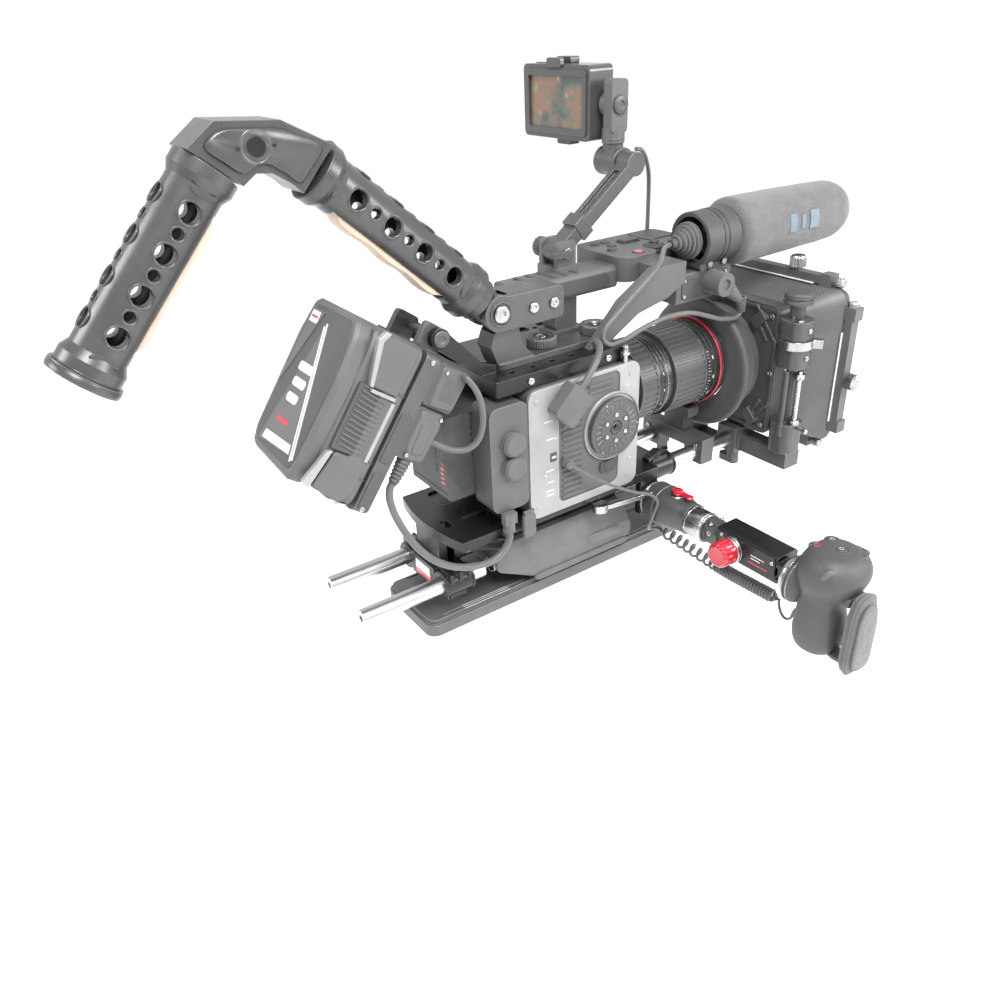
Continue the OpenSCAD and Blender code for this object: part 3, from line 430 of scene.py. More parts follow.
MIC_ROUTE = [(-18, -117, 284), (-22, -107, 283.5), (-32, -95, 282), (-42, -82, 278), (-46, -66, 269),
    (-46, -48, 257), (-46, -32, 246), (-46, -22, 239), (-46, -18, 234), (-46, -18, 228),
    (-47, -22, 223.5), (-48, -28, 222), (-49, -40, 224), (-50, -56, 229), (-51, -75, 233),
    (-52, -95, 234), (-51, -115, 231), (-49, -135, 224), (-46, -155, 216), (-44, -168, 212.5),
    (-44, -180, 211), (-44, -185, 212.5), (-44, -188, 216.5), (-44, -188, 221), (-44, -186, 225)]
MONITOR_ROUTE = [(31, -119, 358), (34, -128, 356), (40, -139, 348), (46, -149, 334),
    (50, -154, 316), (52, -156, 298), (52, -156, 279.2)]
BATTERY_ROUTE = [(-41, 185.15, 159.94), (-41, 188.1, 155.9), (-43, 190, 148), (-47, 189, 136),
    (-52, 184, 120), (-56, 175, 103), (-58, 162, 88), (-58, 145, 76), (-58, 126, 69), (-58, 109, 68),
    (-58, 98, 74), (-58, 92, 83), (-58, 92, 90)]
PLATE_ROUTE = [(-39, 151.4, 185.7), (-39, 147.5, 182.9), (-41, 141, 177.5), (-45, 133, 173),
    (-50, 124, 172.5), (-54, 116, 178), (-56, 112, 188), (-57, 111, 200), (-56.5, 112, 212),
    (-54.5, 115, 222), (-52.5, 119, 229), (-49.5, 119.9, 230.8), (-46.1, 120, 231)]
HANDLE_ROUTE = [(-63.4, 20.4, 199.6), (-63.4, 15, 205), (-62.5, 8, 212), (-60, 1, 218),
    (-55, -6, 223), (-49, -11, 225), (-44, -13.5, 225.5), (-40.2, -14, 225.5)]
LEAD_ROUTE = [(-62, 28.75, 132.35), (-66, 10, 117), (-70, -12, 102), (-74, -34, 90), (-77, -50, 83),
    (-78.5, -58, 74), (-77, -56, 62), (-72, -56, 48), (-64, -62, 37), (-59, -70, 31), (-60, -75, 30.5),
    (-63.5, -76.9, 30.97), (-66.9, -77, 31)]
COIL_ROUTE = [(-67, -77, 31), (-90, -77, 30), (-120, -77, 28), (-150, -77, 27), (-180, -77, 28),
    (-205, -77, 29)]
TAIL_ROUTE = [(-206.6, -77, 29.5), (-207.2, -77, 23.5), (-210.3, -77, 17.3), (-215, -77, 14.5),
    (-219.5, -77, 17.5), (-221.3, -77, 23), (-222.6, -77, 27.8), (-225.1, -77, 30)]
COIL_R = 6.2 * MM
LEAD_R = 1.3 * MM


def route(points, per_span=5):
    return catmull([mm(*p) for p in points], per_span)


def length_of(path):
    return sum((b - a).length for a, b in zip(path, path[1:]))


def curl(path, outer, wire, loose, tight):
    """A helix of the coil's turns along a path: loose turns at first, then tight ones."""
    radius = outer - wire
    total = length_of(path)
    points = []
    turn = 0.0
    done = 0.0
    step = 1 / 16
    while done < total:
        left = done
        for a, b in zip(path, path[1:]):
            span = (b - a).length
            if left <= span:
                break
            left -= span
        along = (b - a).normalized()
        centre = a + along * left
        side = Vector((0, 1, 0))
        up = along.cross(side).normalized()
        ease = min(1, done / 0.006, (total - done) / 0.006)
        angle = 2 * math.pi * turn
        points.append(centre + (side * math.cos(angle) + up * math.sin(angle)) * radius * ease)
        share = min(1, max(0, (done / total - 0.42) / 0.12))
        done += (loose + (tight - loose) * share) * step
        turn += step
    return points


def cord_piece(name, path, radius, body, node, joint=None):
    """A cord along its path that rides on one body, or, given a joint, stays where it lies without a body."""
    piece = sweep(name, path, radius, "cable", 12)
    if joint:
        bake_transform(piece)
    else:
        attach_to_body(piece, body)
    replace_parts(piece, node)
    return piece


def make_cords():
    cord_piece("microphone_cable", route(MIC_ROUTE), 2 * MM, "camera", "mic_cable")
    cord_piece("monitor_cable_run", route(MONITOR_ROUTE), 2 * MM, None, "monitor_cable",
               joint=("camera", "monitor_arm", mm(52, -156, 284), mm(33, -124, 356)))
    cord_piece("battery_cable_run", route(BATTERY_ROUTE), 3 * MM, None, "battery_cable",
               joint=("camera", "battery_plate", mm(-58, 96, 80), mm(-43, 186, 150)))
    cord_piece("plate_cable_run", route(PLATE_ROUTE), 2.4 * MM, "battery_plate", "plate_cable")
    cord_piece("handle_cable_run", route(HANDLE_ROUTE), 2.8 * MM, "camera", "handle_cable")
    cord_piece("remote_lead_run", route(LEAD_ROUTE), LEAD_R, None, "remote_lead",
               joint=("camera", "remote_arm", mm(-62, 0, 110), mm(-66, -66, 32)))
    turns = curl(route(COIL_ROUTE), COIL_R, LEAD_R, 8.5 * MM, 3.2 * MM)
    cord_piece("remote_coil_turns", turns, LEAD_R, None, "remote_coil",
               joint=("remote_arm", "remote_bar", mm(-75, -77, 30), mm(-200, -77, 29)))
    cord_piece("remote_tail_run", route(TAIL_ROUTE, 8), LEAD_R, None, "remote_tail",
               joint=("remote_bar", "remote_grip", mm(-206, -77, 29), mm(-226, -77, 32)))


make_cords()

# ---- shape helpers ---------------------------------------------------------


def frame_of(origin, across, up):
    """A frame at a point in millimetres, with its first two axes along two directions."""
    across, up = Vector(across).normalized(), Vector(up).normalized()
    return Matrix.Translation(mm(*origin)) @ Matrix((across, up, across.cross(up))).transposed().to_4x4()


def side_of(x):
    """The YZ plane at x: outlines are (y, z) and depth runs towards +X."""
    return frame_of((x, 0, 0), (0, 1, 0), (0, 0, 1))


def face_of(y):
    """The XZ plane at y: outlines are (x, z) and depth runs towards -Y."""
    return frame_of((0, y, 0), (1, 0, 0), (0, 0, 1))


def level(z):
    """The XY plane at z: outlines are (x, y) and depth runs up."""
    return frame_of((0, 0, z), (1, 0, 0), (0, 1, 0))


def shifted(place, u, v, depth):
    """A frame moved along its own axes."""
    return place @ Matrix.Translation(mm(u, v, depth))


def upward(x, y, z):
    """A frame at a point whose depth runs up."""
    return shifted(level(z), x, y, 0)


def outward(x, y, z):
    """A frame at a point whose depth runs towards the operator's side, -X."""
    return frame_of((x, y, z), (0, 0, 1), (0, 1, 0))


def round_outline(points, radius, steps=4):
    """An outline whose corners are rounded, all in millimetres."""
    made = []
    count = len(points)
    for i, point in enumerate(points):
        corner = Vector(point)
        before = Vector(points[i - 1]) - corner
        after = Vector(points[(i + 1) % count]) - corner
        cut = min(radius, before.length * 0.45, after.length * 0.45)
        a = corner + before.normalized() * cut
        b = corner + after.normalized() * cut
        for k in range(steps + 1):
            t = k / steps
            made.append(a.lerp(corner, t).lerp(corner.lerp(b, t), t))
    return made


def rect(u0, v0, u1, v1):
    """An outline from its lower left corner to its upper right one."""
    return [(u0, v0), (u1, v0), (u1, v1), (u0, v1)]


def disc(u, v, radius, steps=24):
    return [(u + radius * math.cos(2 * math.pi * k / steps), v + radius * math.sin(2 * math.pi * k / steps))
            for k in range(steps)]


def add_prism(bm, place, outline, low, high, bevel=0.4, radius=0.0):
    """Adds an extruded outline with softened rims to a bmesh."""
    points = round_outline(outline, radius) if radius else [Vector(p) for p in outline]
    inset = min(bevel, abs(high - low) * 0.45)
    middle = sum(points, Vector((0, 0))) / len(points)
    layers = [(low, 0), (high, 0)]
    if inset > 0:
        layers = [(low, 1), (low + inset, 0), (high - inset, 0), (high, 1)]
    rings = []
    for depth, shrink in layers:
        ring = []
        for p in points:
            out = p - middle
            q = p - out.normalized() * inset * shrink if out.length > 1e-6 else p
            ring.append(bm.verts.new(place @ mm(q.x, q.y, depth)))
        rings.append(ring)
    skin(bm, rings)


def add_lathe(bm, place, profile, steps=48, teeth=0, depth=0.0):
    """Adds a turned shape about the frame's depth axis: profile is (depth, radius) pairs; teeth knurl it."""
    if teeth:
        steps = teeth * 4
    rings = []
    for along, radius in profile:
        ring = []
        for k, (c, s) in enumerate(circle(steps)):
            r = radius - (depth if teeth and k % 4 >= 2 and radius > depth * 2 else 0)
            ring.append(bm.verts.new(place @ mm(r * c, r * s, along)))
        rings.append(ring)
    skin(bm, rings)


def add_torus(bm, place, centre, major, minor, steps=40, sides=10):
    """Adds a round bead about the frame's depth axis."""
    rings = []
    for i in range(steps):
        a = 2 * math.pi * i / steps
        ring = []
        for k in range(sides):
            b = 2 * math.pi * k / sides
            r = major + minor * math.cos(b)
            ring.append(bm.verts.new(place @ mm(centre[0] + r * math.cos(a), centre[1] + r * math.sin(a),
                                                centre[2] + minor * math.sin(b))))
        rings.append(ring)
    skin(bm, rings, closed=True)


def add_screw(bm, place, radius, height, socket=6):
    """Adds a cap screw whose head stands along the frame's depth axis, with a hexagon socket."""
    rim, wall = radius * 0.86, radius * 0.5
    steps = 24
    rings = []
    for along, r, sides in ((0, radius, 0), (height * 0.75, radius, 0), (height, rim, 0),
                            (height, wall, socket), (height * 0.45, wall, socket)):
        ring = []
        for k in range(steps):
            a = 2 * math.pi * k / steps
            if sides:
                wedge = math.pi / sides
                r_here = r * math.cos(wedge) / math.cos((a % (2 * wedge)) - wedge)
            else:
                r_here = r
            ring.append(bm.verts.new(place @ mm(r_here * math.cos(a), r_here * math.sin(a), along)))
        rings.append(ring)
    skin(bm, rings)


def piece_of(name, look, body, slot, *replaced, smooth=35):
    """A with-block that collects shapes in one bmesh and attaches the finished piece."""
    return Collector(name, look, body, slot, replaced, smooth)


class Collector:
    def __init__(self, name, look, body, slot, replaced, smooth):
        self.bm = bmesh.new()
        self.facts = (name, look, body, slot, replaced, smooth)

    def __enter__(self):
        return self.bm

    def __exit__(self, kind, value, trace):
        if kind is None:
            name, look, body, slot, replaced, smooth = self.facts
            attach(finish_mesh(name, self.bm, look, smooth), body, slot, *replaced)
        return False


# ---- camera, lens and top --------------------------------------------------


LENS_Z = 161
SIDE_X = -57
ROSETTE = (-62, -20, 153)


def camera_details():
    """What stands on the camera's side, rear and top."""
    side = side_of(SIDE_X)
    with piece_of("side_trim", "silver", "camera", "silver_paint") as bm:
        add_torus(bm, side, (-20, 153, -0.2), 30.2, 0.9, 64)
        for y, z in ((-40, 196), (-40, 100), (60, 196), (60, 100)):
            add_lathe(bm, shifted(side, y, z, 0), [(-0.5, 1.2), (-0.5, 2.2), (0.4, 2.4)], 20)
    with piece_of("side_switch", "dark_shell", "camera", "dark_shell") as bm:
        add_prism(bm, side, rect(40.5, 139, 47.5, 147.5), -0.5, 2, 0.3, 1.5)
        add_prism(bm, side, rect(-25, 111, -7, 121), -0.9, -0.2, 0.3, 3)
    with piece_of("side_switch_knob", "pale", "camera", "silver_paint") as bm:
        add_prism(bm, side, rect(42, 142.6, 46, 144.2), -1.4, 0, 0.2)
        for z, width in ((176, 9), (160, 7), (131, 8), (120, 6), (112, 8), (108, 8)):
            add_prism(bm, side, rect(44, z, 44 + width, z + 1.1), -0.16, 0.5, 0.05)
        for y, z in ((52, 128), (42, 160), (-36, 186), (-42, 116)):
            add_prism(bm, side, disc(y, z, 0.9, 12), -0.16, 0.5, 0.05)
    with piece_of("rosette_screws", "steel", "camera", "screw_steel") as bm:
        for k in range(6):
            a = math.radians(60 * k + 30)
            spot = frame_of((-62.1, -20 + 12 * math.cos(a), 153 + 12 * math.sin(a)), (0, 0, 1), (0, 1, 0))
            add_screw(bm, spot, 2.0, 1.0)
        for k in range(3):
            a = math.radians(120 * k + 65)
            spot = frame_of((-62.1, -20 + 24.6 * math.cos(a), 153 + 24.6 * math.sin(a)), (0, 0, 1),
                            (0, 1, 0))
            add_lathe(bm, spot, [(-0.3, 1), (0.2, 1), (0.5, 0.6)], 12)
    with piece_of("rosette_rings", "grey", "camera", "grey_anodised") as bm:
        x, y, z = ROSETTE
        for radius, bead, steps in ((26.2, 0.7, 64), (15.6, 0.5, 48), (4.4, 0.7, 32)):
            add_torus(bm, side_of(x), (y, z, -0.1), radius, bead, steps)
    with piece_of("socket_caps", "rubber", "camera", "soft_rubber") as bm:
        for z in (147, 168):
            cap = outward(-60, 85, z)
            add_lathe(bm, cap, [(-0.5, 9.6), (1.2, 9.7), (2.6, 9.2), (3.4, 8.1), (3.2, 6.6), (3.3, 2),
                                (3.3, 0.3)], 40)
            add_torus(bm, cap, (0, 0, 0.2), 9.8, 0.6, 40)
    with piece_of("battery_label", "red", "camera", "red_part") as bm:
        rear = face_of(131)
        for k in range(5):
            add_prism(bm, rear, rect(-25.5, 133 + k * 4.2, -20, 135.6 + k * 4.2), -0.25, 1, 0.1, 0.5)
    with piece_of("battery_seams", "dark_shell", "camera", "dark_shell") as bm:
        add_prism(bm, face_of(131), rect(-28, 125, 28, 126), -0.3, 1, 0.2)
        add_prism(bm, face_of(131), rect(-14, 140, 20, 182), -0.5, 1, 0.4, 3)
        for k in range(11):
            slope = frame_of((-29.2, 80 + 3.6 * k, 124), (0, 0.55, 0.83), (0, -0.83, 0.55))
            add_prism(bm, slope, rect(0, 0, 46 if k > 3 else 34, 1.2), -0.5, 0.6, 0.2)


def thumb_screw(bm, place):
    """A knurled thumb screw with a recessed top."""
    add_lathe(bm, place, [(0, 10.6), (0, 12), (0.6, 12.8), (7.2, 12.8), (8.2, 11.9), (8.2, 8.4),
                          (7.2, 7.8), (7.2, 0.4)],
              teeth=40, depth=0.7)


def fastener_details():
    """The screws and thumb screws that the CAD keeps in one node, with sockets and knurls."""
    with piece_of("thumb_screws", "grey", "camera", "grey_anodised", smooth=28) as bm:
        for x, y in ((-14, 22), (-18, -32)):
            thumb_screw(bm, upward(x, y, 224.1))
        add_torus(bm, side_of(-34.4), (75, 266, 0), 9.2, 0.8)
    with piece_of("cap_screws", "steel", "camera", "screw_steel", "fasteners") as bm:
        for x, y in ((-14, 22), (-18, -32)):
            add_screw(bm, upward(x, y, 231), 4.2, 1.6)
        for y in (24, 44):
            add_screw(bm, outward(-34.1, y, 265), 4.4, 2.2)
        add_screw(bm, outward(-34.1, 75, 266), 7.0, 3.0)
        for y in (-20, 60):
            add_screw(bm, outward(-50.1, y, 212.5), 3, 1.5)
        add_lathe(bm, shifted(side_of(12), -26, 287, 0), [(-2.5, 2), (-2.5, 4.6), (0, 4.6), (0, 2.9),
                                                                        (26, 2.9), (26, 4.6), (28.5, 4.6),
                                                                                (28.5, 2)], 24)
        post = upward(-54.5, -35, 204)
        add_lathe(bm, post, [(2, 2.4), (9, 2.4), (9.5, 4.6), (12, 4.8), (12.6, 3.2), (15, 2.6),
                             (16.5, 3.4), (18, 1.5)], 24)


def on_lens(angle, radius):
    """A frame on the lens's skin: round it, along it, and straight out."""
    c, s = math.cos(angle), math.sin(angle)
    return frame_of((radius * c, 0, LENS_Z + radius * s), (-s, 0, c), (0, -1, 0))


def lens_details():
    """Red ring, fixed-ring grooves, scale marks and filter thread."""
    axis = frame_of((0, 0, LENS_Z), (1, 0, 0), (0, 0, 1))
    with piece_of("red_ring", "red", "camera", "red_part") as bm:
        add_torus(bm, axis, (0, 0, 169.2), 42.0, 1.1, 96)
    with piece_of("lens_rings", "lens", "camera", "lens_black", smooth=30) as bm:
        for depth, radius in ((57.5, 36.8), (63, 36.8), (68.5, 36.8), (74, 34.2), (93, 38.2), (97, 38.2),
                              (101, 38.4),
                              (110, 38.2), (153, 41.2), (158, 41.2), (163, 41.2), (173, 42.2), (176.4, 42)):
            add_torus(bm, axis, (0, 0, depth), radius - 0.3, 0.55, 80, 8)
    with piece_of("scale_marks", "pale", "camera", "silver_paint") as bm:
        for k in range(46):
            a = math.radians(150 + k * 2.6)
            tall = 2.6 if k % 5 == 0 else 1.2
            mark = on_lens(a, 38.15)
            add_prism(bm, mark, rect(-0.18, 104.5, 0.18, 104.5 + tall), -0.6, 0.14, 0.02)
            if k % 9 == 4:
                add_prism(bm, mark, rect(-1.2, 99.2, 1.2, 100.2), -0.6, 0.3, 0.02)
        for k in range(26):
            a = math.radians(150 + k * 4.4)
            mark = on_lens(a, 41.1)
            add_prism(bm, mark, rect(-0.22, 154.4, 0.22, 155.6 + (k % 3 == 0) * 1.4), -0.6, 0.16, 0.02)
            if k % 6 == 2:
                add_prism(bm, mark, rect(-1.6, 160, 1.6, 161.3), -0.6, 0.16, 0.02)


def top_details():
    """Buttons, joystick, trims and the audio unit on the top handle."""
    with piece_of("handle_trim", "dark_shell", "camera", "dark_shell") as bm:
        pad = level(278.9)
        add_prism(bm, pad, rect(22, -164, 54, -130), 0, 1.2, 0.6, 7)
        for x, y in ((30, -92), (44, -84), (44, -96), (18, -82)):
            add_lathe(bm, shifted(pad, x, y, 0), [(-0.4, 4.4), (1.2, 4.4), (1.7, 3.6), (1.5, 0.3)], 24)
        add_lathe(bm, shifted(pad, 6, -121, 0), [(-4, 8.6), (0.3, 8.6), (1.6, 6.8), (2.2, 4.2),
                                                              (4.2, 4.4), (4.9, 3.6), (4.6, 0.3)], 32)
        add_torus(bm, pad, (6, -121, 0.3), 9.4, 0.7)
        add_torus(bm, pad, (-3, -94, 0.2), 5.0, 0.7, 32)
        for k in range(5):
            add_prism(bm, level(271.9), rect(0, -30 + k * 12, 26, -26.5 + k * 12), 0, 0.6, 0.3, 1.2)
        flank = [(-60, 256), (30, 256), (32, 262), (28, 268), (-58, 268), (-62, 262)]
        add_prism(bm, side_of(-3.1), flank, -0.5, 1, 0.4, 2)
        add_prism(bm, side_of(31.1), flank, -1, 0.5, 0.4, 2)
    with piece_of("audio_unit_trim", "dark_shell", "camera", "dark_shell") as bm:
        near = side_of(-28)
        add_prism(bm, near, rect(-182, 235, -124, 255), -1.2, 1, 0.6, 4)
        for k in range(7):
            add_lathe(bm, shifted(near, -140 + 3.2 * k, 253, -1.4),
                      [(-0.4, 0.6), (-0.4, 1.1), (0.5, 1.1)], 12)
        add_prism(bm, level(231.9), rect(-24, -182, 4, -124), -0.8, 0.4, 0.4, 4)
    with piece_of("audio_unit_screws", "steel", "camera", "screw_steel") as bm:
        for y, z in ((-179, 252), (-127, 252), (-179, 238), (-127, 238)):
            add_screw(bm, outward(-29.2, y, z), 1.7, 0.8)


def microphone_details():
    """Foam windscreen with an uneven surface, its collar, the holder's screws and the rubber boot's rings."""
    axis = frame_of((-18, 0, 284), (1, 0, 0), (0, 0, 1))
    bm = bmesh.new()
    profile = [(183.2, 10.6), (183.2, 20), (184, 25), (186, 28.6), (189, 30.2)]
    profile += [(189 + 129 * k / 30, 30.4 - 2.6 * (k / 30) ** 1.6) for k in range(1, 31)]
    profile += [(318 + 31 * math.sin(math.radians(a)), 27.8 * math.cos(math.radians(a)))
                for a in range(6, 90, 6)]
    profile.append((349, 0.4))
    add_lathe(bm, axis, profile, 120)
    for v in bm.verts:
        p = v.co / MM
        wobble = math.sin(p.x * 1.9 + p.z * 0.7) * math.sin(p.y * 1.7 + p.z * 1.1) * math.sin(p.z * 1.4 - p.x)
        out = Vector((v.co.x - axis.translation.x, 0, v.co.z - axis.translation.z))
        if out.length > 2 * MM:
            v.co += out.normalized() * 0.28 * MM * wobble
    attach(finish_mesh("foam_windscreen", bm, "foam", 60), "camera", "foam", "windscreen")
    with piece_of("windscreen_band", "blue", "camera", "foam", smooth=60) as bm:
        for start, width, first, last in ((240, 9, 158, 190), (256, 5, 163, 186), (268, 12, 158, 190)):
            add_band(bm, axis, start, width, 30.3, math.radians(first), math.radians(last))
    with piece_of("microphone_rings", "rubber", "camera", "soft_rubber") as bm:
        for depth, radius in ((124, 6.5), (128, 9), (131, 11), (134, 13.5), (137, 15.6), (140, 15.6)):
            add_torus(bm, axis, (0, 0, depth), radius - 0.6, 1.1, 48)
        for k in range(8):
            relief = upward(-44, -185.4 - 0.35 * k, 229.6 - 1.9 * k)
            add_torus(bm, relief, (0, 0, 0), 4.3 - 0.22 * k, 0.9, 24, 8)
    # The holder's two slots are not cut: black beads stand in for them as painted shade.
    with piece_of("holder_slot_shade", "black", "camera", "dark_shell", smooth=50) as bm:
        for depth in (161, 166.5):
            add_torus(bm, axis, (0, 0, depth), 23.45, 0.95, 64)
    with piece_of("holder_knob", "steel", "camera", "screw_steel") as bm:
        add_screw(bm, frame_of((5.2, -163, 288), (1, 0, 0), (0, 1, 0)), 3.2, 3)
        for y in (-172, -154):
            add_lathe(bm, shifted(side_of(-33), y, 263, 0), [(0, 2.2), (0, 3), (20, 3), (20, 2.2)], 20)
    with piece_of("holder_rims", "grey", "camera", "grey_anodised", smooth=50) as bm:
        add_torus(bm, axis, (0, 0, 143.2), 22.6, 1.5, 64)
        add_torus(bm, axis, (0, 0, 181), 22.8, 1.4, 64)


def add_band(bm, place, start, width, radius, first, last, steps=16):
    """A thin curved patch that lies on a round body."""
    rows = []
    for r in (radius, radius - 0.8):
        row = []
        for k in range(steps + 1):
            a = first + (last - first) * k / steps
            row.append([bm.verts.new(place @ mm(r * math.cos(a), r * math.sin(a), d))
                        for d in (start, start + width)])
        rows.append(row)
    outer, inner = rows
    for k in range(steps):
        bm.faces.new((outer[k][0], outer[k + 1][0], outer[k + 1][1], outer[k][1]))
        bm.faces.new((inner[k][0], inner[k][1], inner[k + 1][1], inner[k + 1][0]))
        for e in (0, 1):
            bm.faces.new((outer[k][e], inner[k][e], inner[k + 1][e], outer[k + 1][e]))
    for k in (0, steps):
        bm.faces.new((outer[k][0], outer[k][1], inner[k][1], inner[k][0]))


# ---- shoulder handle -------------------------------------------------------

PIVOT = Matrix.Translation(mm(-19, 75, 266))
INNER = PIVOT @ Matrix.Rotation(math.radians(42.5 - 90), 4, "X") @ Matrix.Translation(mm(0, 0, 26))
OUTER = Matrix.Translation(mm(-19, 272, 394)) @ Matrix.Rotation(math.radians(-90 - 48), 4, "X")
INNER_LEN = 150
OUTER_LEN = 142


def on_tube(tube, angle, along, radius):
    """A frame on the tube's skin: across it, along it, and straight out."""
    a = math.radians(angle)
    out = Vector((math.cos(a), math.sin(a), 0))
    spin = Matrix((Vector((-math.sin(a), math.cos(a), 0)), Vector((0, 0, 1)), out)).transposed().to_4x4()
    return tube @ Matrix.Translation(out * radius * MM + Vector((0, 0, along * MM))) @ spin


def grip_tube_details(name, tube, length, far_cap):
    """Rims round the windows, darker crescents painted as the shade of the thumb recesses, and the end cap.
    """
    pitch = (length - 58) / 3
    with piece_of(name + "_rims", "tube", "grip", "grey_anodised", smooth=50) as bm:
        for angle in (180, 270, 0):
            for k in range(4):
                spot = on_tube(tube, angle, 29 + k * pitch, 17.2)
                add_torus(bm, spot, (0, 0, 0), 7.4, 0.8, 36)
                if k < 3:
                    add_torus(bm, on_tube(tube, angle, 29 + (k + 0.5) * pitch, 17.5), (0, 0, 0), 4.6, 0.6,
                              28)
    # The thumb recesses are not cut: thin crescents in the darker ring material stand in for them as painted
    # shade.
    with piece_of(name + "_recess_shade", "ring", "grip", "grey_anodised", smooth=40) as bm:
        for angle in (180, 0):
            for along, way in ((15, 1), (length - 13, -1)):
                spot = on_tube(tube, angle, along, 17.9)
                moon = [(9 * math.cos(math.radians(a)), way * 4.6 * math.sin(math.radians(a)) - way * 1.4)
                        for a in range(0, 181, 20)]
                add_prism(bm, spot, moon, -1, 0.45, 0.2)
    with piece_of(name + "_ends", "tube", "grip", "grey_anodised", smooth=40) as bm:
        add_torus(bm, tube, (0, 0, length - 0.8), 20.6, 0.8, 64)
        if far_cap:
            add_lathe(bm, tube, [(length + 0.4, 22.6), (length + 1.2, 23.3), (length + 4.8, 23.4),
                                 (length + 6, 22.4), (length + 6, 10), (length + 4.6, 9.4),
                                 (length + 4.6, 0.4)], 64)


def palm_insert(name, tube, length):
    """A soft beige insert with finger waves."""
    bm = bmesh.new()
    rows = 40
    cols = 12
    top, low = [], []
    for i in range(rows + 1):
        z = 22.6 + (length - 45.2) * i / rows
        ends = min(1, i / 3, (rows - i) / 3)
        wave = 1.6 * math.sin(math.pi * (z - 22.6) / (length - 45.2) * 3) ** 2
        line_top, line_low = [], []
        for k in range(cols + 1):
            x = -8.9 + 17.8 * k / cols
            crown = math.sqrt(max(0, 1 - (x / 14) ** 2))
            y = 14.6 + ends * (4.2 + wave) * crown
            line_top.append(bm.verts.new(tube @ mm(x, y, z)))
            line_low.append(bm.verts.new(tube @ mm(x, 13.8, z)))
        top.append(line_top)
        low.append(line_low)
    for i in range(rows):
        for k in range(cols):
            bm.faces.new((top[i][k], top[i][k + 1], top[i + 1][k + 1], top[i + 1][k]))
            bm.faces.new((low[i][k], low[i + 1][k], low[i + 1][k + 1], low[i][k + 1]))
        for k in (0, cols):
            bm.faces.new((top[i][k], top[i + 1][k], low[i + 1][k], low[i][k]))
    for i in (0, rows):
        for k in range(cols):
            bm.faces.new((top[i][k], low[i][k], low[i][k + 1], top[i][k + 1]))
    return attach(finish_mesh(name, bm, "beige", 60), "grip", "beige_insert")


def elbow_details():
    """The elbow's raised cheeks, hole ring, and black discs painted as the shade of its holes."""
    cheek = [(201, 400), (221, 379), (228, 386), (238, 393), (249, 394), (257, 389), (279, 407),
             (266, 416), (229, 413)]
    with piece_of("elbow_cheeks", "tube", "grip", "grey_anodised", smooth=50) as bm:
        add_prism(bm, side_of(-36), cheek, -2.2, 1, 2.1, 7)
        add_prism(bm, side_of(-2), cheek, -1, 2.2, 2.1, 7)
        for x in (-38.0, 0):
            add_torus(bm, side_of(x), (246, 404, 0), 9.4, 0.5, 40)
    # The pivot hole and the two pin holes are not cut: black discs stand in for them as painted shade.
    with piece_of("elbow_hole_shade", "black", "grip", "dark_shell") as bm:
        for x, low, high in ((-38.6, -0.1, 0.6), (0.6, -0.6, 0.1)):
            add_prism(bm, side_of(x), disc(246, 404, 6.0, 32), low, high, 0.1)
            for y in (234.6, 257.4):
                add_prism(bm, side_of(x), disc(y, 404, 1.3, 12), low, high, 0.1)


# ---- rear battery ----------------------------------------------------------

TILT = Matrix.Translation(mm(0, 127, 257)) @ Matrix.Rotation(math.radians(36), 4, "X")


def tilted(place):
    """A frame given for the upright battery, tilted with it."""
    return TILT @ place


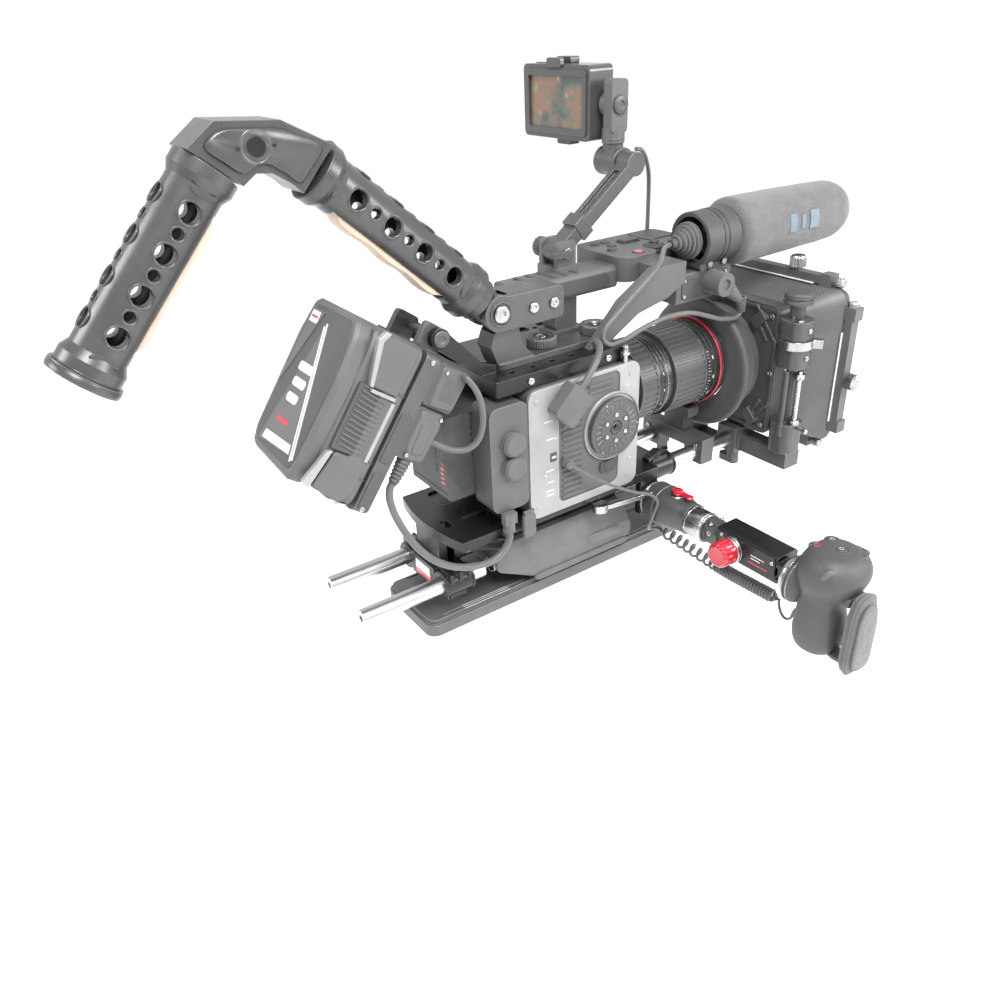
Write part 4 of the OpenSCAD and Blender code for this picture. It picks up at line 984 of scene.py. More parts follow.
def battery_details():
    """The battery block: stepped shell, label face, silver edges, grip ribs, feet."""
    rear = tilted(face_of(0))
    near = tilted(side_of(-46))
    far = tilted(side_of(46))
    with piece_of("battery_shell", "battery", "battery_pack", "grey_shell", "battery_pack",
                  smooth=32) as bm:
        add_prism(bm, rear, rect(-46, -140, 46, -12), -38, -17.4, 2.2, 9)
        core = [(-41, -134), (41, -134), (43, -120), (43, -30), (40, -16), (-38, -13), (-42, -26),
                (-43, -116)]
        add_prism(bm, rear, core, -58, -36, 2.5, 5)
        label = [(-36, -137), (33, -134), (40, -122), (42, -40), (37, -12), (-31, -12), (-38, -24),
                 (-43, -60), (-41, -122)]
        add_prism(bm, rear, label, -70.5, -56, 2.8, 5)
        pad = [(22, -14), (54, -14), (56, -20), (46, -52), (24, -52)]
        for place, low, high in ((near, -1.2, 4), (far, -4, 1.2)):
            add_prism(bm, place, pad, low, high, 1.0, 3)
            add_prism(bm, place, [(22, -104), (50, -104), (56, -134), (28, -138), (22, -130)], low + 0.5,
                      high - 0.5, 0.9, 3)
            add_prism(bm, place, rect(24, -102, 28, -56), low + 0.7, high - 0.7, 0.6, 1)
        for k in range(13):
            z = -100 + k * 3.7
            for place, low, high in ((near, -0.6, 4), (far, -4, 0.6)):
                slant = [(30, z - 0.9), (52, z + 2.4), (52.5, z + 3.6), (30, z + 0.7)]
                add_prism(bm, place, slant, low, high, 0.4)
    with piece_of("battery_core_sides", "dark_shell", "battery_pack", "dark_shell") as bm:
        add_prism(bm, near, rect(28, -103, 55, -52), 0.4, 6, 0.5, 2)
        add_prism(bm, far, rect(28, -103, 55, -52), -6, -0.4, 0.5, 2)
        for z in (-50, -104, -118):
            add_prism(bm, near, rect(18, z, 23, z + 1.6), -0.5, 1, 0.3)
    with piece_of("battery_edges", "silver", "battery_pack", "silver_paint", smooth=25) as bm:
        band = [(50.5, -13), (54.5, -13), (58, -20), (48.5, -52), (45.5, -52), (53.5, -20)]
        foot = [(53, -104), (57, -106), (64, -132), (58, -135), (57.5, -131)]
        low_edge = [(24, -53), (46, -53), (46, -55.4), (24, -55.4)]
        rail = [(22.5, -57), (25.5, -57), (25.5, -104), (22.5, -104)]
        for outline in (band, foot, low_edge):
            add_prism(bm, near, outline, -1.7, 3.4, 0.5)
            add_prism(bm, far, outline, -3.4, 1.7, 0.5)
        add_prism(bm, near, rail, -0.9, 3, 0.4)
    with piece_of("battery_face", "dark_shell", "battery_pack", "dark_shell") as bm:
        add_prism(bm, rear, [(-33, -130), (29, -128), (35, -118), (36, -38), (31, -17), (-26, -17),
                             (-33, -28), (-38, -60),
                             (-36, -120)], -71.2, -69, 0.5, 4)
    with piece_of("battery_panels", "battery", "battery_pack", "grey_shell") as bm:
        add_prism(bm, rear, [(-31, -122), (26, -126), (4, -32)], -72.0, -70, 0.5, 2)
        add_prism(bm, rear, [(32, -20), (12, -20), (34, -82)], -72.0, -70, 0.4, 2)
    with piece_of("battery_marks", "pale", "battery_pack", "silver_paint") as bm:
        add_prism(bm, rear, [(-27, -121), (20, -123.5), (18.5, -116.5), (-24.5, -114.5)], -72.3, -71, 0.1)
        add_prism(bm, rear, rect(17, -31, 30, -22), -72.3, -71, 0.1, 1)
        for k in range(3):
            add_prism(bm, rear, rect(-9 + 1.4 * k, -66 - 12 * k, 12 - 1.2 * k + 2, -59 - 12 * k), -72.3,
                      -71, 0.1, 3)
        for a, b in (((-34.5, -123), (2.2, -27)), ((-31.9, -124.5), (4.4, -29.5))):
            along = (Vector(b) - Vector(a)).normalized()
            across = Vector((-along.y, along.x)) * 0.45
            line = [Vector(a) - across, Vector(b) - across, Vector(b) + across, Vector(a) + across]
            add_prism(bm, rear, [tuple(p) for p in line], -72.25, -71, 0.1)
    with piece_of("battery_mark_red", "red", "battery_pack", "red_part") as bm:
        add_prism(bm, rear, rect(-8, -106, 12, -102.5), -72.3, -71, 0.1, 1)
        add_prism(bm, rear, rect(18.6, -27.4, 28.4, -25.6), -72.5, -71, 0.05)
    with piece_of("battery_foot", "pale", "battery_pack", "silver_paint") as bm:
        add_lathe(bm, tilted(upward(-40, 24, -140)), [(-2.4, 2), (-2, 4.2), (1, 4.6)], 24)


def battery_plate_details():
    """Seams, catches, screws and the moulded connector boxes in front of the battery."""
    front = tilted(face_of(0))
    near = tilted(side_of(-46))
    with piece_of("plate_trim", "dark_shell", "battery_plate", "dark_shell") as bm:
        add_prism(bm, near, rect(3.5, -100, 13.5, -60), -0.8, 2, 0.5, 1.5)
        add_prism(bm, near, rect(4, -138, 13, -108), -0.8, 2, 0.5, 1.5)
        add_prism(bm, front, rect(-31, -131, 29, -71), 5.6, 7.2, 0.6, 4)
        add_prism(bm, tilted(level(-12)), rect(-40, 3, 40, 13), -0.4, 1.4, 0.6, 3)
    with piece_of("plate_screws", "steel", "battery_plate", "screw_steel") as bm:
        for x, z in ((-26, -124), (22, -124), (-26, -80), (22, -80)):
            add_screw(bm, tilted(frame_of((x, -7.0, z), (1, 0, 0), (0, 0, 1))), 3.2, 1.4)
        for z in (-18, -138):
            add_screw(bm, tilted(outward(-46.1, 8.5, z)), 2.0, 1.0)
    with piece_of("connector_shells", "shell", "battery_plate", "dark_shell", smooth=30) as bm:
        side = tilted(side_of(-46))
        add_prism(bm, side, [(-26, -46), (-4, -48), (-2, -16), (-24, -14), (-27, -24)], -1.2, 12.6, 1.4, 3)
        add_prism(bm, side, [(-22, -90), (-6, -92), (-2, -80), (-2, -52), (-20, -50), (-23, -60)], -1.4,
                  12.6, 1.4, 3)
        for k in range(5):
            add_prism(bm, side, rect(-22 + 3 * k, -40, -20.8 + 3 * k, -22), -1.9, 0, 0.3)
        add_prism(bm, side, [(-18, -84), (-8, -86), (-6, -60), (-16, -58)], -2.4, 0, 0.6, 2)
        relief = tilted(upward(-41, -10, -92))
        for k in range(6):
            add_torus(bm, relief, (0, 0, -2 - 3.2 * k), 4.9 - 0.25 * k, 1.1, 24, 8)
    with piece_of("connector_screws", "steel", "battery_plate", "screw_steel") as bm:
        for y, z in ((-6, -20), (-20, -54), (-5, -88)):
            add_screw(bm, tilted(outward(-47.6, y, z)), 1.6, 0.8)
    with piece_of("hanger_caps", "grey", "camera", "grey_anodised") as bm:
        for x, way in ((-30, -1), (30, 1)):
            spot = outward(x, 127, 257) if way < 0 else frame_of((x, 127, 257), (0, 1, 0), (0, 0, 1))
            add_lathe(bm, spot, [(0, 6.6), (1.4, 6.8), (2, 6.0), (2, 3.2), (1.2, 2.6), (1.2, 0.3)], 32)


# ---- matte box -------------------------------------------------------------


def knob(bm, place, radius, height):
    """A small knurled knob with a waist."""
    add_lathe(bm, place, [(-0.4, radius * 0.5), (height * 0.18, radius * 0.55)], 24)
    add_lathe(bm, place, [(height * 0.16, radius * 0.7), (height * 0.2, radius), (height * 0.86, radius),
                          (height, radius * 0.8), (height, radius * 0.4), (height * 0.92, radius * 0.1)],
              teeth=20, depth=radius * 0.09)


MATTE_Z = 156


def matte_details():
    """Stage ribs and screws, donut folds, rail edges and knobs."""
    back = face_of(-210)
    with piece_of("stage_ribs", "grey", "matte_box", "grey_anodised") as bm:
        for sx in (-1, 1):
            for sz in (-1, 1):
                for shift in (0, 10):
                    a = Vector((sx * (70 - shift), MATTE_Z + sz * 30))
                    b = Vector((sx * 44, MATTE_Z + sz * (62 - shift)))
                    along = (b - a).normalized()
                    across = Vector((-along.y, along.x)) * 1.3
                    add_prism(bm, back, [tuple(a - across), tuple(b - across), tuple(b + across),
                                         tuple(a + across)],
                              -1.8, 1, 0.5)
        for x0, z0, x1, z1 in ((-70, 94, 70, 97.5), (-70, 214.5, 70, 218), (-71, 96, -67.5, 216),
                               (67.5, 96, 71, 216)):
            add_prism(bm, back, rect(x0, z0, x1, z1), -1.4, 1, 0.5, 1)
        post = upward(-88, -215, 0)
        for z in (169, 184.5, 197.5, 211.5):
            add_torus(bm, post, (0, 0, z), 12.6, 0.8, 48)
    with piece_of("stage_screws", "steel", "matte_box", "screw_steel") as bm:
        for x, z in ((-64, 101), (64, 101), (-64, 211), (64, 211), (-68, 156), (68, 156)):
            add_screw(bm, shifted(face_of(0), x, z, 208.6) @ Matrix.Rotation(math.pi, 4, "X"), 2.6, 1.2)
        for z in (178, 204):
            add_screw(bm, outward(-101.1, -216, z), 2.6, 1.2)
    with piece_of("stage_knob", "dark_shell", "matte_box", "dark_shell", smooth=28) as bm:
        add_lathe(bm, upward(-85, -214, 0),
                  [(216, 3.5), (216, 5.8), (225, 5.4), (226.4, 8), (227, 11.4), (229, 12.2),
                   (230.2, 11.2), (231.4, 10.8),
                   (232.4, 12), (236.2, 12.2), (237.4, 11.2), (237.8, 0.4)], 48)
    axis = frame_of((0, 0, MATTE_Z), (1, 0, 0), (0, 0, 1))
    with piece_of("donut_folds", "donut", "matte_box", "soft_rubber", "donut", smooth=60) as bm:
        outer = [(179.6, 38.5), (180.4, 45), (180.6, 51), (179.6, 56), (178.5, 60), (178.7, 62.6),
                 (180.2, 64.3),
                 (182.5, 64.6), (184.6, 63), (186.4, 60.2), (188, 59.4), (190, 60), (192, 58.6),
                 (194, 56.8), (196, 57.2),
                 (198.4, 55.8), (201, 54.8), (204, 54.6), (209.4, 53.8)]
        inner = [(209.4, 50.5), (197, 51.5), (188, 51.5), (183, 46), (181.4, 38.8)]
        add_ring_lathe(bm, axis, outer + inner, 96)
    with piece_of("hood_edges", "grey", "matte_box", "dark_shell") as bm:
        for y, half_w, half_h, radius, thick, low, high in ((-262, 104.2, 76.2, 14, 2.2, 0.2, 3.4),
                                                            (-228, 76.6, 60.6, 8, 2.0, -1.5, 1.5)):
            corners = (-half_w, MATTE_Z - half_h, half_w, MATTE_Z + half_h)
            add_frame(bm, face_of(y), corners, radius, thick, low, high, 0)
    with piece_of("rail_knobs", "steel", "matte_box", "screw_steel", smooth=28) as bm:
        for sx in (-1, 1):
            way = ((0, 0, 1), (0, 1, 0)) if sx < 0 else ((0, 1, 0), (0, 0, 1))
            knob(bm, frame_of((sx * 113, -265, 148), *way), 7.8, 12)
            knob(bm, frame_of((sx * 85, -265, 237), *way), 4.6, 11)
            knob(bm, frame_of((sx * 85, -265, 75), *way), 4.6, 11)
            knob(bm, upward(sx * 109, -265, 213), 4.6, 10)
        knob(bm, upward(-42, -265, 241), 7.8, 13)
        add_lathe(bm, upward(-85, -214, 0), [(212.6, 3), (212.6, 5), (216.4, 5), (216.4, 3)], 32)
        add_lathe(bm, upward(-95, -208, 0), [(212.6, 3), (212.6, 4.2), (215, 4.2), (215.6, 3)], 6)
    with piece_of("foot_thread", "steel", "camera", "screw_steel", smooth=28) as bm:
        thread = upward(-98, -214, 0)
        add_lathe(bm, thread, [(112 + 0.8 * k, 2.2 if k % 2 else 2.7) for k in range(68)], 20)
        for z in (112, 158):
            add_lathe(bm, thread, [(z, 3), (z, 4.8), (z + 5, 4.8), (z + 5, 3)], 20)
            add_lathe(bm, thread, [(z + 1.6, 5.3), (z + 3.4, 5.3)], 20)
        arm = outward(-101, -214, 109)
        add_lathe(bm, arm, [(0, 1.2), (9, 1.2), (9.6, 2.4), (12, 2.6), (13, 1.4)], 16)
    with piece_of("rail_slots", "white", "matte_box", "silver_paint") as bm:
        add_prism(bm, level(232.4), rect(-66, -259.9, 51, -258.7), 0, 1.1, 0.1)
        for sx in (-1, 1):
            add_prism(bm, side_of(sx * 104.6), rect(-259.9, 104, -258.7, 194), -0.6, 0.6, 0.1)


def add_ring_lathe(bm, place, profile, steps):
    """A closed turned ring: the profile is a loop of (depth, radius) pairs."""
    rings = []
    for along, radius in profile:
        rings.append([bm.verts.new(place @ mm(radius * math.cos(2 * math.pi * k / steps),
                                              radius * math.sin(2 * math.pi * k / steps), along))
                                              for k in range(steps)])
    skin(bm, rings, closed=True)


def add_frame(bm, place, corners, radius, thick, low, high, ease=0.6):
    """A rounded rectangular frame whose outer corners are given; ease says how the inner corners tighten."""
    u0, v0, u1, v1 = corners
    loops = []
    for inset, depth in ((0, low), (0, high), (thick, high), (thick, low)):
        inner = rect(u0 + inset, v0 + inset, u1 - inset, v1 - inset)
        outline = round_outline(inner, max(0.5, radius - inset * ease), 6)
        loops.append([bm.verts.new(place @ mm(p.x, p.y, depth)) for p in outline])
    skin(bm, loops, closed=True)


# ---- monitor ---------------------------------------------------------------


def monitor_details():
    """Bezel, picture, rear casing, tabs and arm hardware."""
    rear = face_of(-90)
    with piece_of("monitor_bezel", "bezel", "monitor", "screen_plastic") as bm:
        add_frame(bm, rear, (64, 368, 151, 421), 4, 5.0, -1.6, 0.5)
        add_prism(bm, rear, rect(97, 422.5, 117, 430.4), -3.2, 2, 0.8, 2)
        for k in range(4):
            add_prism(bm, level(424.9), rect(128 + 5.5 * k, -104, 131.5 + 5.5 * k, -99), -0.3, 0.8, 0.3,
                      0.8)
    with piece_of("monitor_picture", "screen", "monitor", "screen_plastic") as bm:
        add_prism(bm, face_of(-92), rect(71, 371, 149, 415.4), -0.9, 0, 0.1)
    with piece_of("monitor_back", "dark_shell", "monitor", "screen_plastic") as bm:
        front = face_of(-116)
        add_prism(bm, front, rect(66, 369, 150, 420), -1, 1.4, 1.0, 6)
        for k in range(7):
            add_prism(bm, front, rect(82, 386 + 3.4 * k, 134, 387.8 + 3.4 * k), 5, 6.4, 0.5)
    with piece_of("monitor_hinge", "grey", "monitor_yoke", "grey_anodised") as bm:
        hub = outward(39.8, -107, 394)
        add_lathe(bm, hub, [(0, 7.4), (1.8, 7.6), (2.4, 6.6), (2.4, 3.4), (1.2, 3.0), (1.2, 0.3)], 40)
        add_torus(bm, upward(48, -107, 366.4), (0, 0, 0), 9.6, 0.8, 48)
    with piece_of("monitor_swivel_rings", "grey", "monitor_swivel", "grey_anodised") as bm:
        barrel = shifted(side_of(0), -107, 348, 0)
        for x in (35, 40, 55, 59):
            add_torus(bm, barrel, (0, 0, x), 11.5, 0.8, 56)
        add_lathe(bm, barrel, [(60.2, 8.5), (62.4, 8.8), (63, 7.8), (63, 4), (61.8, 3.6), (61.8, 0.3)], 40)
    with piece_of("arm_knobs", "dark_shell", "camera", "dark_shell", smooth=28) as bm:
        knob(bm, shifted(side_of(39.6), -26, 287, 0), 8.6, 12)
        spot = outward(10.4, -26, 287)
        add_prism(bm, spot, [(-3, -4), (3, -4), (4, 18), (-2, 19)], 0, 4, 0.8, 1.5)


# ---- remote grip -----------------------------------------------------------


def arm_at(x):
    """A frame on the remote arm's axis at x, with its depth running towards -X."""
    return outward(x, -77, 60)


def remote_arm_details():
    """Collars, rings, the shaped neck and its screws, and the release button's coils."""
    with piece_of("arm_collars", "steel", "remote_arm", "screw_steel", smooth=30) as bm:
        add_lathe(bm, arm_at(-52.6), [(0, 15.2), (0, 16.6), (0.8, 17), (5, 17), (5.6, 16.4), (5.6, 15)], 80)
        add_lathe(bm, arm_at(-104.4), [(0, 12), (0, 13.4), (0.8, 13.7), (20.2, 13.7), (21, 13.3),
                                       (21, 12)], 72)
        for x in (-55, -107, -122.5):
            add_torus(bm, arm_at(x), (0, 0, 0), 17.0 if x > -60 else 13.7, 0.35, 72, 8)
        for y in (-70, -84):
            add_screw(bm, upward(-132.5, y, 70), 2.0, 1.3)
        add_screw(bm, frame_of((-132.5, -69.1, 62), (0, 0, 1), (1, 0, 0)), 2.6, 1.4)
    with piece_of("arm_neck", "grey", "remote_arm", "grey_anodised", smooth=40) as bm:
        rings = []
        for x, half_y, half_z, power in ((-64, 18.8, 18.8, 2), (-71, 19.2, 19.2, 2),
                                         (-78, 18.6, 18.2, 2.4), (-88, 16.8, 15.8, 2.8),
                                         (-97, 14.6, 13.9, 2.8), (-104, 13.6, 13.4, 2.2)):
            ring = []
            for k in range(64):
                a = 2 * math.pi * k / 64
                c, s = math.cos(a), math.sin(a)
                r = (abs(c) ** power + abs(s) ** power) ** (-1 / power)
                ring.append(bm.verts.new(mm(x, -77 + half_y * r * c, 60 + half_z * r * s)))
            rings.append(ring)
        skin(bm, rings)
        add_torus(bm, arm_at(-70.6), (0, 0, 0), 19.2, 0.5, 72, 8)
    with piece_of("button_seat", "steel", "remote_arm", "screw_steel", smooth=30) as bm:
        add_lathe(bm, upward(-84, -77, 0), [(74.4, 5.4), (74.4, 6.8), (76.6, 6.8), (77.2, 6.2),
                                                                    (77.2, 5.4)], 36)
    with piece_of("button_coils", "red", "ratchet_button", "red_part", "ratchet_button", smooth=40) as bm:
        stem = upward(-84, -77, 0)
        add_lathe(bm, stem, [(69, 3.6), (80, 3.6), (80.4, 4.8), (81.6, 5.0), (82.1, 4.2), (82.0, 0.4)], 32)
        for k in range(4):
            add_torus(bm, stem, (0, 0, 71.2 + 2.5 * k), 3.9, 0.95, 32, 10)
        wing = [(-87, -79.5), (-93, -81.5), (-100, -82.4), (-101.6, -78), (-99, -74.6), (-92, -76.4),
                (-87, -75.4)]
        add_prism(bm, level(77.4), wing, 0, 2.8, 0.8, 1.8)
    with piece_of("arm_clamp_trim", "dark_shell", "remote_arm", "dark_shell") as bm:
        add_prism(bm, frame_of((0, -68.9, 0), (1, 0, 0), (0, 0, 1)),
                  [(-139, 68), (-127, 70), (-126, 64), (-134, 60), (-139, 62)],
                  -1.2, 0.6, 0.5, 1.5)
        add_prism(bm, level(69.8), rect(-139, -83, -126, -71), 0, 1.4, 0.5, 2)


def remote_bar_details():
    """The bar's chamfered faces, stripe, screws, fluted knob and rings at the grip."""
    rear = frame_of((0, -69, 0), (-1, 0, 0), (0, 0, 1))
    with piece_of("bar_faces", "black", "remote_bar", "black_anodised") as bm:
        add_prism(bm, rear, [(143, 50), (200, 50), (205, 54), (205, 68), (201, 72), (146, 72)], -0.4, 1.6,
                  0.8, 2)
        for z in (51.5, 65.5):
            add_prism(bm, rear, rect(206.4, z, 213.6, z + 3), -0.4, 2.4, 0.5)
    with piece_of("bar_marks", "pale", "remote_bar", "silver_paint") as bm:
        add_prism(bm, rear, rect(180, 63.4, 194, 64.2), 1.2, 1.8, 0.05)
        add_prism(bm, rear, rect(180, 60.6, 190, 61.4), 1.2, 1.8, 0.05)
    with piece_of("bar_stripe", "red", "remote_bar", "red_part") as bm:
        add_prism(bm, rear, rect(178, 56.4, 198, 57.4), 1.2, 1.85, 0.05)
    with piece_of("bar_screws", "steel", "remote_bar", "screw_steel") as bm:
        for x, z in ((147.5, 68.5), (147.5, 53.5), (201.5, 66.5)):
            add_screw(bm, shifted(rear, x, z, 1.3), 1.8, 0.9)
        add_lathe(bm, arm_at(-214.2), [(0, 15.6), (0.4, 16.4), (1.8, 16.6), (4.4, 16.4), (4.8, 15)], 72)
    spindle = frame_of((-160, -77, 60), (0, 0, 1), (1, 0, 0))
    with piece_of("knob_ring", "steel", "remote_knob", "screw_steel", "remote_knob", smooth=30) as bm:
        add_lathe(bm, spindle, [(5.6, 2.4), (8.6, 2.4), (8.7, 11.6), (9.4, 12.3), (14.0, 12.3),
                                (14.8, 11.8), (14.8, 10.6)], 72)
        add_torus(bm, spindle, (0, 0, 11.6), 12.25, 0.35, 72, 8)
    bm = bmesh.new()
    rings = []
    for depth, radius, cut in ((14.6, 10.6, 0), (15.2, 11.4, 1), (27.0, 11.0, 1), (28.6, 9.8, 0.8),
                               (29.2, 8.2, 0), (28.7, 6.8, 0),
                               (28.9, 0.4, 0)):
        ring = []
        for k in range(96):
            a = 2 * math.pi * k / 96
            r = radius - cut * 1.0 * max(0.0, math.cos(10 * a)) ** 3
            ring.append(bm.verts.new(spindle @ mm(r * math.cos(a), r * math.sin(a), depth)))
        rings.append(ring)
    skin(bm, rings)
    attach(finish_mesh("knob_cup", bm, "red", 40), "remote_knob", "red_part")


GRIP_SECTIONS = [
    # height, middle x, middle y, half width in x, half width in y
    (4.2, -246, -79, 5, 5), (5.4, -246, -79, 12, 12), (9, -246, -79, 16.6, 17.2), (16, -246, -79, 19.4, 20),
    (27, -246.4, -78.5, 20, 21), (40, -246.4, -78, 18.6, 20), (51, -246, -77.6, 17.4, 18.6),
    (60, -247, -77.4, 19.4, 19.8),
    (70, -249.4, -78.5, 23.6, 24.5), (80, -250.4, -79.6, 25.6, 27.2), (88, -250, -79.8, 24.6, 27),
    (94.5, -249.4, -79.4, 21, 23.4),
    (98.8, -248.6, -78.6, 15.5, 17.6), (100.4, -247.6, -78, 7, 9)]


def remote_grip_details():
    """The moulded grip, its mounting disc, buttons, wheel and seam."""
    sides = 64
    heights = [Vector((s[0], 0, 0)) for s in GRIP_SECTIONS]
    middles = [Vector(s[1:4]) for s in GRIP_SECTIONS]
    depths = [Vector((s[4], 0, 0)) for s in GRIP_SECTIONS]
    line = zip(catmull(heights, 4), catmull(middles, 4), catmull(depths, 4))
    bm = bmesh.new()
    rings = []
    for height, key, depth in line:
        z = height.x
        ring = []
        for k in range(sides):
            a = 2 * math.pi * k / sides
            c, s = math.cos(a), math.sin(a)
            r = (abs(c) ** 2.3 + abs(s) ** 2.3) ** (-1 / 2.3)
            finger = 1.9 * max(0.0, -s) ** 2 * math.sin((z - 10) / 44 * math.pi * 2) * (10 < z < 54)
            thumb = -2.4 * max(0.0, s) ** 3 * math.exp(-((z - 62) / 9) ** 2)
            seam = -0.45 * (k in (24, 56))
            out = r + (finger + thumb + seam) / key.z
            ring.append(bm.verts.new(mm(key.x + key.z * out * c, key.y + depth.x * out * s, z)))
        rings.append(ring)
    skin(bm, rings)
    add_lathe(bm, arm_at(-219.6), [(0, 14), (0, 20), (0.8, 20.9), (2.6, 21), (3.0, 20.2), (3.6, 20.2),
                                   (4, 21), (6.2, 20.6), (10, 19),
                                   (15, 16)], 80)
    attach(finish_mesh("moulded_grip", bm, "dark_shell", 60), "remote_grip", "grey_shell", "remote_grip")
    # The thumb rest takes the lighter battery shell colour: a painted highlight standing in for the shine on
    # its glossy bulge.
    with piece_of("grip_thumb_rest", "battery", "remote_grip", "grey_shell", smooth=60) as bm:
        rest = frame_of((-259, -63, 86), (0.35, 0.9, 0.1), (-0.3, 0.2, 0.9))
        add_prism(bm, rest, [(-14, -8), (6, -10), (11, 2), (6, 10), (-12, 9)], -3.5, 2.2, 1.6, 6)
    with piece_of("grip_button_rings", "dark_shell", "remote_grip", "dark_shell") as bm:
        for x, y, z in BUTTONS:
            add_torus(bm, upward(x, y, z), (0, 0, 0), 5.6, 0.9, 36)
        add_lathe(bm, outward(-254, -99, 91), [(-2, 4.6), (-2, 5.6), (8, 5.6), (8, 4.6)], 0, teeth=20,
                  depth=0.4)
        add_lathe(bm, upward(-264, -90, 95), [(-4, 4.6), (1.6, 4.6), (2.6, 3.6), (2.6, 0.4)], 28)
    with piece_of("grip_caps", "dark_shell", "grip_buttons", "dark_shell", "grip_buttons") as bm:
        for x, y, z in BUTTONS:
            add_lathe(bm, upward(x, y, z), [(-8, 4.1), (0.6, 4.2), (1.5, 3.5), (1.2, 2.4), (1.1, 0.3)], 32)
    with piece_of("grip_cap_marks", "pale", "grip_buttons", "silver_paint") as bm:
        for x, y, z in BUTTONS[1:3]:
            add_torus(bm, upward(x, y, z + 1.3), (0, 0, 0), 1.5, 0.25, 20, 6)
    with piece_of("grip_cap_red", "red", "grip_buttons", "red_part") as bm:
        x, y, z = BUTTONS[0]
        add_torus(bm, upward(x, y, z + 1.2), (0, 0, 0), 2.2, 0.45, 24, 8)
    with piece_of("grip_disc_rings", "steel", "remote_grip", "screw_steel") as bm:
        for x, radius in ((-221.2, 21.0), (-225, 20.7)):
            add_torus(bm, arm_at(x), (0, 0, 0), radius, 0.4, 80, 8)


BUTTONS = [(-236, -73, 98.4), (-238, -89, 98.2), (-252, -81, 99.6), (-250, -65, 97.6)]


def strap_pad():
    """The padded hand strap: two stuffed layers with piped edges, and its webbing ends."""
    outline = [(-98, 10), (-98, 50), (-94, 70), (-84, 76), (-72, 74), (-67, 60), (-66, 14), (-72, 3),
               (-92, 2)]
    pad = puffed("hand_strap_pad", frame_of((-280, 4, 0), (0, 1, 0), (0, 0, 1)), outline, 5.2, 4.4, 9)
    attach(pad, "remote_grip", "strap_fabric", "hand_strap")
    inner = [(-94, 14), (-94, 49), (-90, 64), (-83, 69), (-75, 67), (-71, 57), (-70, 17), (-75, 8),
             (-90, 7)]
    cover = puffed("hand_strap_cover", frame_of((-285.6, 4, 0), (0, 1, 0), (0, 0, 1)), inner, 1.9, 1.2, 7)
    attach(cover, "remote_grip", "strap_fabric")
    with piece_of("strap_piping", "rubber", "remote_grip", "strap_fabric", smooth=60) as bm:
        add_pipe(bm, [mm(-281.5, y + 4, z) for y, z in round_outline(outline, 9, 6)], 1.1)
        add_pipe(bm, [mm(-286.2, y + 4, z) for y, z in round_outline(inner, 7, 6)], 0.55)
    with piece_of("strap_webbing", "strap", "remote_grip", "strap_fabric") as bm:
        add_prism(bm, face_of(-72), [(-281, 61), (-268, 64), (-262, 66), (-262, 68.6), (-270, 67),
                                     (-281, 65)], 0, 14, 0.4)
        add_prism(bm, face_of(-72), [(-281, 8), (-266, 6.5), (-256, 9), (-256, 11.5), (-266, 9.4),
                                     (-281, 11.6)], 0, 14, 0.4)
    with piece_of("strap_buckle", "dark_shell", "remote_grip", "dark_shell") as bm:
        add_prism(bm, face_of(-69), [(-274, 62), (-268, 62), (-268, 70), (-274, 69)], 0, 20, 0.8, 1)


def add_pipe(bm, loop, radius, sides=8):
    """A closed round bead along a loop of points."""
    rings = []
    count = len(loop)
    for i, point in enumerate(loop):
        along = (loop[(i + 1) % count] - loop[i - 1]).normalized()
        across = along.cross(Vector((1, 0, 0))).normalized()
        other = along.cross(across)
        rings.append([bm.verts.new(point + (across * math.cos(2 * math.pi * k / sides)
                                            + other * math.sin(2 * math.pi * k / sides)) * radius * MM)
                                            for k in range(sides)])
    skin(bm, rings, closed=True)


def puffed(name, place, outline, depth, edge, radius, rows=10):
    """A stuffed pad: the outline shrinks towards its middle while both faces swell."""
    loop = [Vector(p) for p in round_outline(outline, radius, 6)]
    middle = sum(loop, Vector((0, 0))) / len(loop)
    bm = bmesh.new()
    rims = []
    for way in (1, -1):
        rings = []
        for i in range(rows):
            share = i / rows
            shrink = 1 - share ** 1.3
            swell = edge * 0.5 + (depth - edge * 0.5) * math.sqrt(1 - (1 - share) ** 2)
            ring = []
            for k, p in enumerate(loop):
                q = middle + (p - middle) * shrink
                fold = 0.22 * math.sin(q.x * 0.55 + 1.3 * way) * math.sin(q.y * 0.31) * share
                ring.append(bm.verts.new(place @ mm(q.x, q.y, way * (swell + fold))))
            rings.append(ring)
        centre = bm.verts.new(place @ mm(middle.x, middle.y, way * depth))
        for a, b in zip(rings, rings[1:]):
            join_rings(bm, a, b)
        last = rings[-1]
        for k in range(len(last)):
            bm.faces.new((last[k], last[(k + 1) % len(last)], centre))
        rims.append(rings[0])
    join_rings(bm, *rims)
    return finish_mesh(name, bm, "strap", 60)


# ---- rods, clamps and supports ---------------------------------------------


def rod_band(bm, rod, depth):
    """The raised band where a clamp grips a rod."""
    add_lathe(bm, rod, [(depth - 1.2, 8), (depth - 1.2, 12), (depth - 0.6, 12.4), (depth + 0.6, 12.4),
                        (depth + 1.2, 12), (depth + 1.2, 8)], 48)


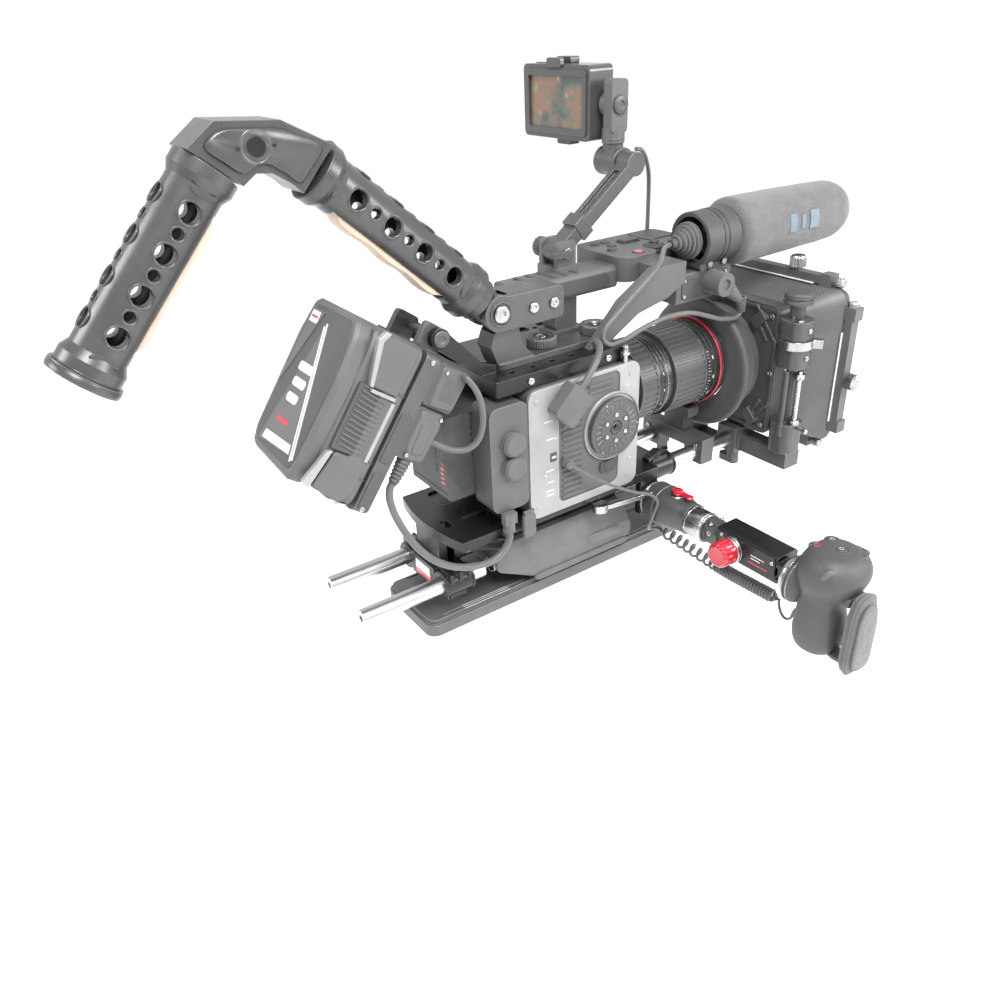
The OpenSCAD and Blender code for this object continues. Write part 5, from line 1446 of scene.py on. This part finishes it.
def support_details():
    """Rod bevels, clamp screws, bands and label, pad lip and plate marks."""
    with piece_of("rod_ends", "steel", "camera", "screw_steel", smooth=30) as bm:
        for x in (-30, 30):
            for y in (184, 94):
                spot = frame_of((x, y, 43), (1, 0, 0), (0, 0, 1))
                add_torus(bm, spot, (0, 0, 0.6 if y > 100 else -0.6), 6.4, 0.7, 40)
    with piece_of("clamp_screws", "steel", "camera", "screw_steel") as bm:
        for x in (-30, 30):
            for y in (126, 138):
                add_screw(bm, upward(x, y, 27) @ Matrix.Rotation(math.pi, 4, "X"), 2.2, 1.2)
        for x in (-30, 30):
            add_screw(bm, upward(x, -105 if x > 0 else -94, 89), 2.4, 1.2)
        for x in (-34, 34):
            add_screw(bm, frame_of((x, -151.9, 84), (-1, 0, 0), (0, 0, 1)), 2.4, 1.2)
    with piece_of("clamp_label", "pale", "camera", "silver_paint") as bm:
        add_prism(bm, face_of(146), rect(-12, 36, 12, 50), -0.3, 0.5, 0.1, 1.5)
    with piece_of("clamp_label_red", "red", "camera", "red_part") as bm:
        add_prism(bm, face_of(146.3), rect(-12, 36, 12, 41), -0.15, 0.5, 0.05, 1.5)
    with piece_of("clamp_bands", "black", "camera", "black_anodised", smooth=30) as bm:
        for x in (-30, 30):
            rod = frame_of((x, 0, 43), (1, 0, 0), (0, 0, 1))
            for depth in (-119.4, -144.6):
                rod_band(bm, rod, depth)
            high = frame_of((x, 0, 76), (1, 0, 0), (0, 0, 1))
            for depth in (116.4, 88.6):
                rod_band(bm, high, depth)
    with piece_of("pad_lip", "pad", "camera", "soft_rubber", smooth=60) as bm:
        for x, low, high in ((-45.4, 0, 3), (45.4, -3, 0)):
            add_prism(bm, side_of(x), [(-50, 17), (54, 17), (58, 21), (54, 23.5), (-50, 23.5), (-54, 20)],
                      low, high, 1.2, 3)
            add_prism(bm, side_of(x * 0.985), [(-44, 30), (-6, 30), (-2, 38), (-8, 41), (-40, 41),
                                               (-46, 36)], low, high, 1.4, 3)
    with piece_of("plate_marks", "pale", "camera", "silver_paint") as bm:
        for k in range(3):
            add_prism(bm, level(15), rect(-38 + 2.6 * k, 80, -37.3 + 2.6 * k, 128), -0.1, 0.15, 0.02)


def make_details():
    """Every piece that Blender adds to the CAD."""
    camera_details()
    fastener_details()
    lens_details()
    top_details()
    microphone_details()
    grip_tube_details("grip_inner_tube", INNER, INNER_LEN, False)
    grip_tube_details("grip_outer_tube", OUTER, OUTER_LEN, True)
    palm_insert("palm_insert_inner", INNER, INNER_LEN)
    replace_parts(palm_insert("palm_insert_outer", OUTER, OUTER_LEN), "grip_inserts")
    elbow_details()
    battery_details()
    battery_plate_details()
    matte_details()
    monitor_details()
    remote_arm_details()
    remote_bar_details()
    remote_grip_details()
    strap_pad()
    support_details()


make_details()

# ---- stage and light -------------------------------------------------------

FLOOR_Z = -0.26


def make_stage():
    """A plain pale floor well under the rig, which its tripod thread holds up."""
    shade = Shader("pale_floor", (0.93, 0.93, 0.93), 0.8)
    shade.tint(shade.ramp(shade.noise(3, 2), 0.3, 0.7), (0.91, 0.91, 0.91), 0.5)
    bm = bmesh.new()
    bmesh.ops.create_grid(bm, x_segments=2, y_segments=2, size=200)
    data = bpy.data.meshes.new("floor")
    bm.to_mesh(data)
    bm.free()
    data.materials.append(shade.material)
    floor = bpy.data.objects.new("floor", data)
    floor.location.z = FLOOR_Z
    bpy.context.scene.collection.objects.link(floor)


def area_light(name, at, toward, size, power):
    data = bpy.data.lights.new(name, "AREA")
    data.size = size
    data.energy = power
    lamp = bpy.data.objects.new(name, data)
    lamp.location = at
    lamp.rotation_euler = (Vector(toward) - Vector(at)).to_track_quat("-Z", "Y").to_euler()
    bpy.context.scene.collection.objects.link(lamp)


def make_light():
    """A bright even room with three soft boxes."""
    world = bpy.data.worlds.new("studio")
    world.use_nodes = True
    world.node_tree.nodes["Background"].inputs["Color"].default_value = (1, 1, 1, 1)
    world.node_tree.nodes["Background"].inputs["Strength"].default_value = 1.1
    bpy.context.scene.world = world
    area_light("key", (-1.2, 0.4, 1.9), (0, 0, 0.15), 0.9, 75)
    area_light("side", (-1.6, -1.2, 0.9), (0, 0, 0.15), 0.8, 35)
    area_light("rear", (0.6, 1.7, 1.2), (0, 0, 0.2), 0.8, 25)
    bpy.context.scene.view_settings.view_transform = "Standard"


make_stage()
make_light()
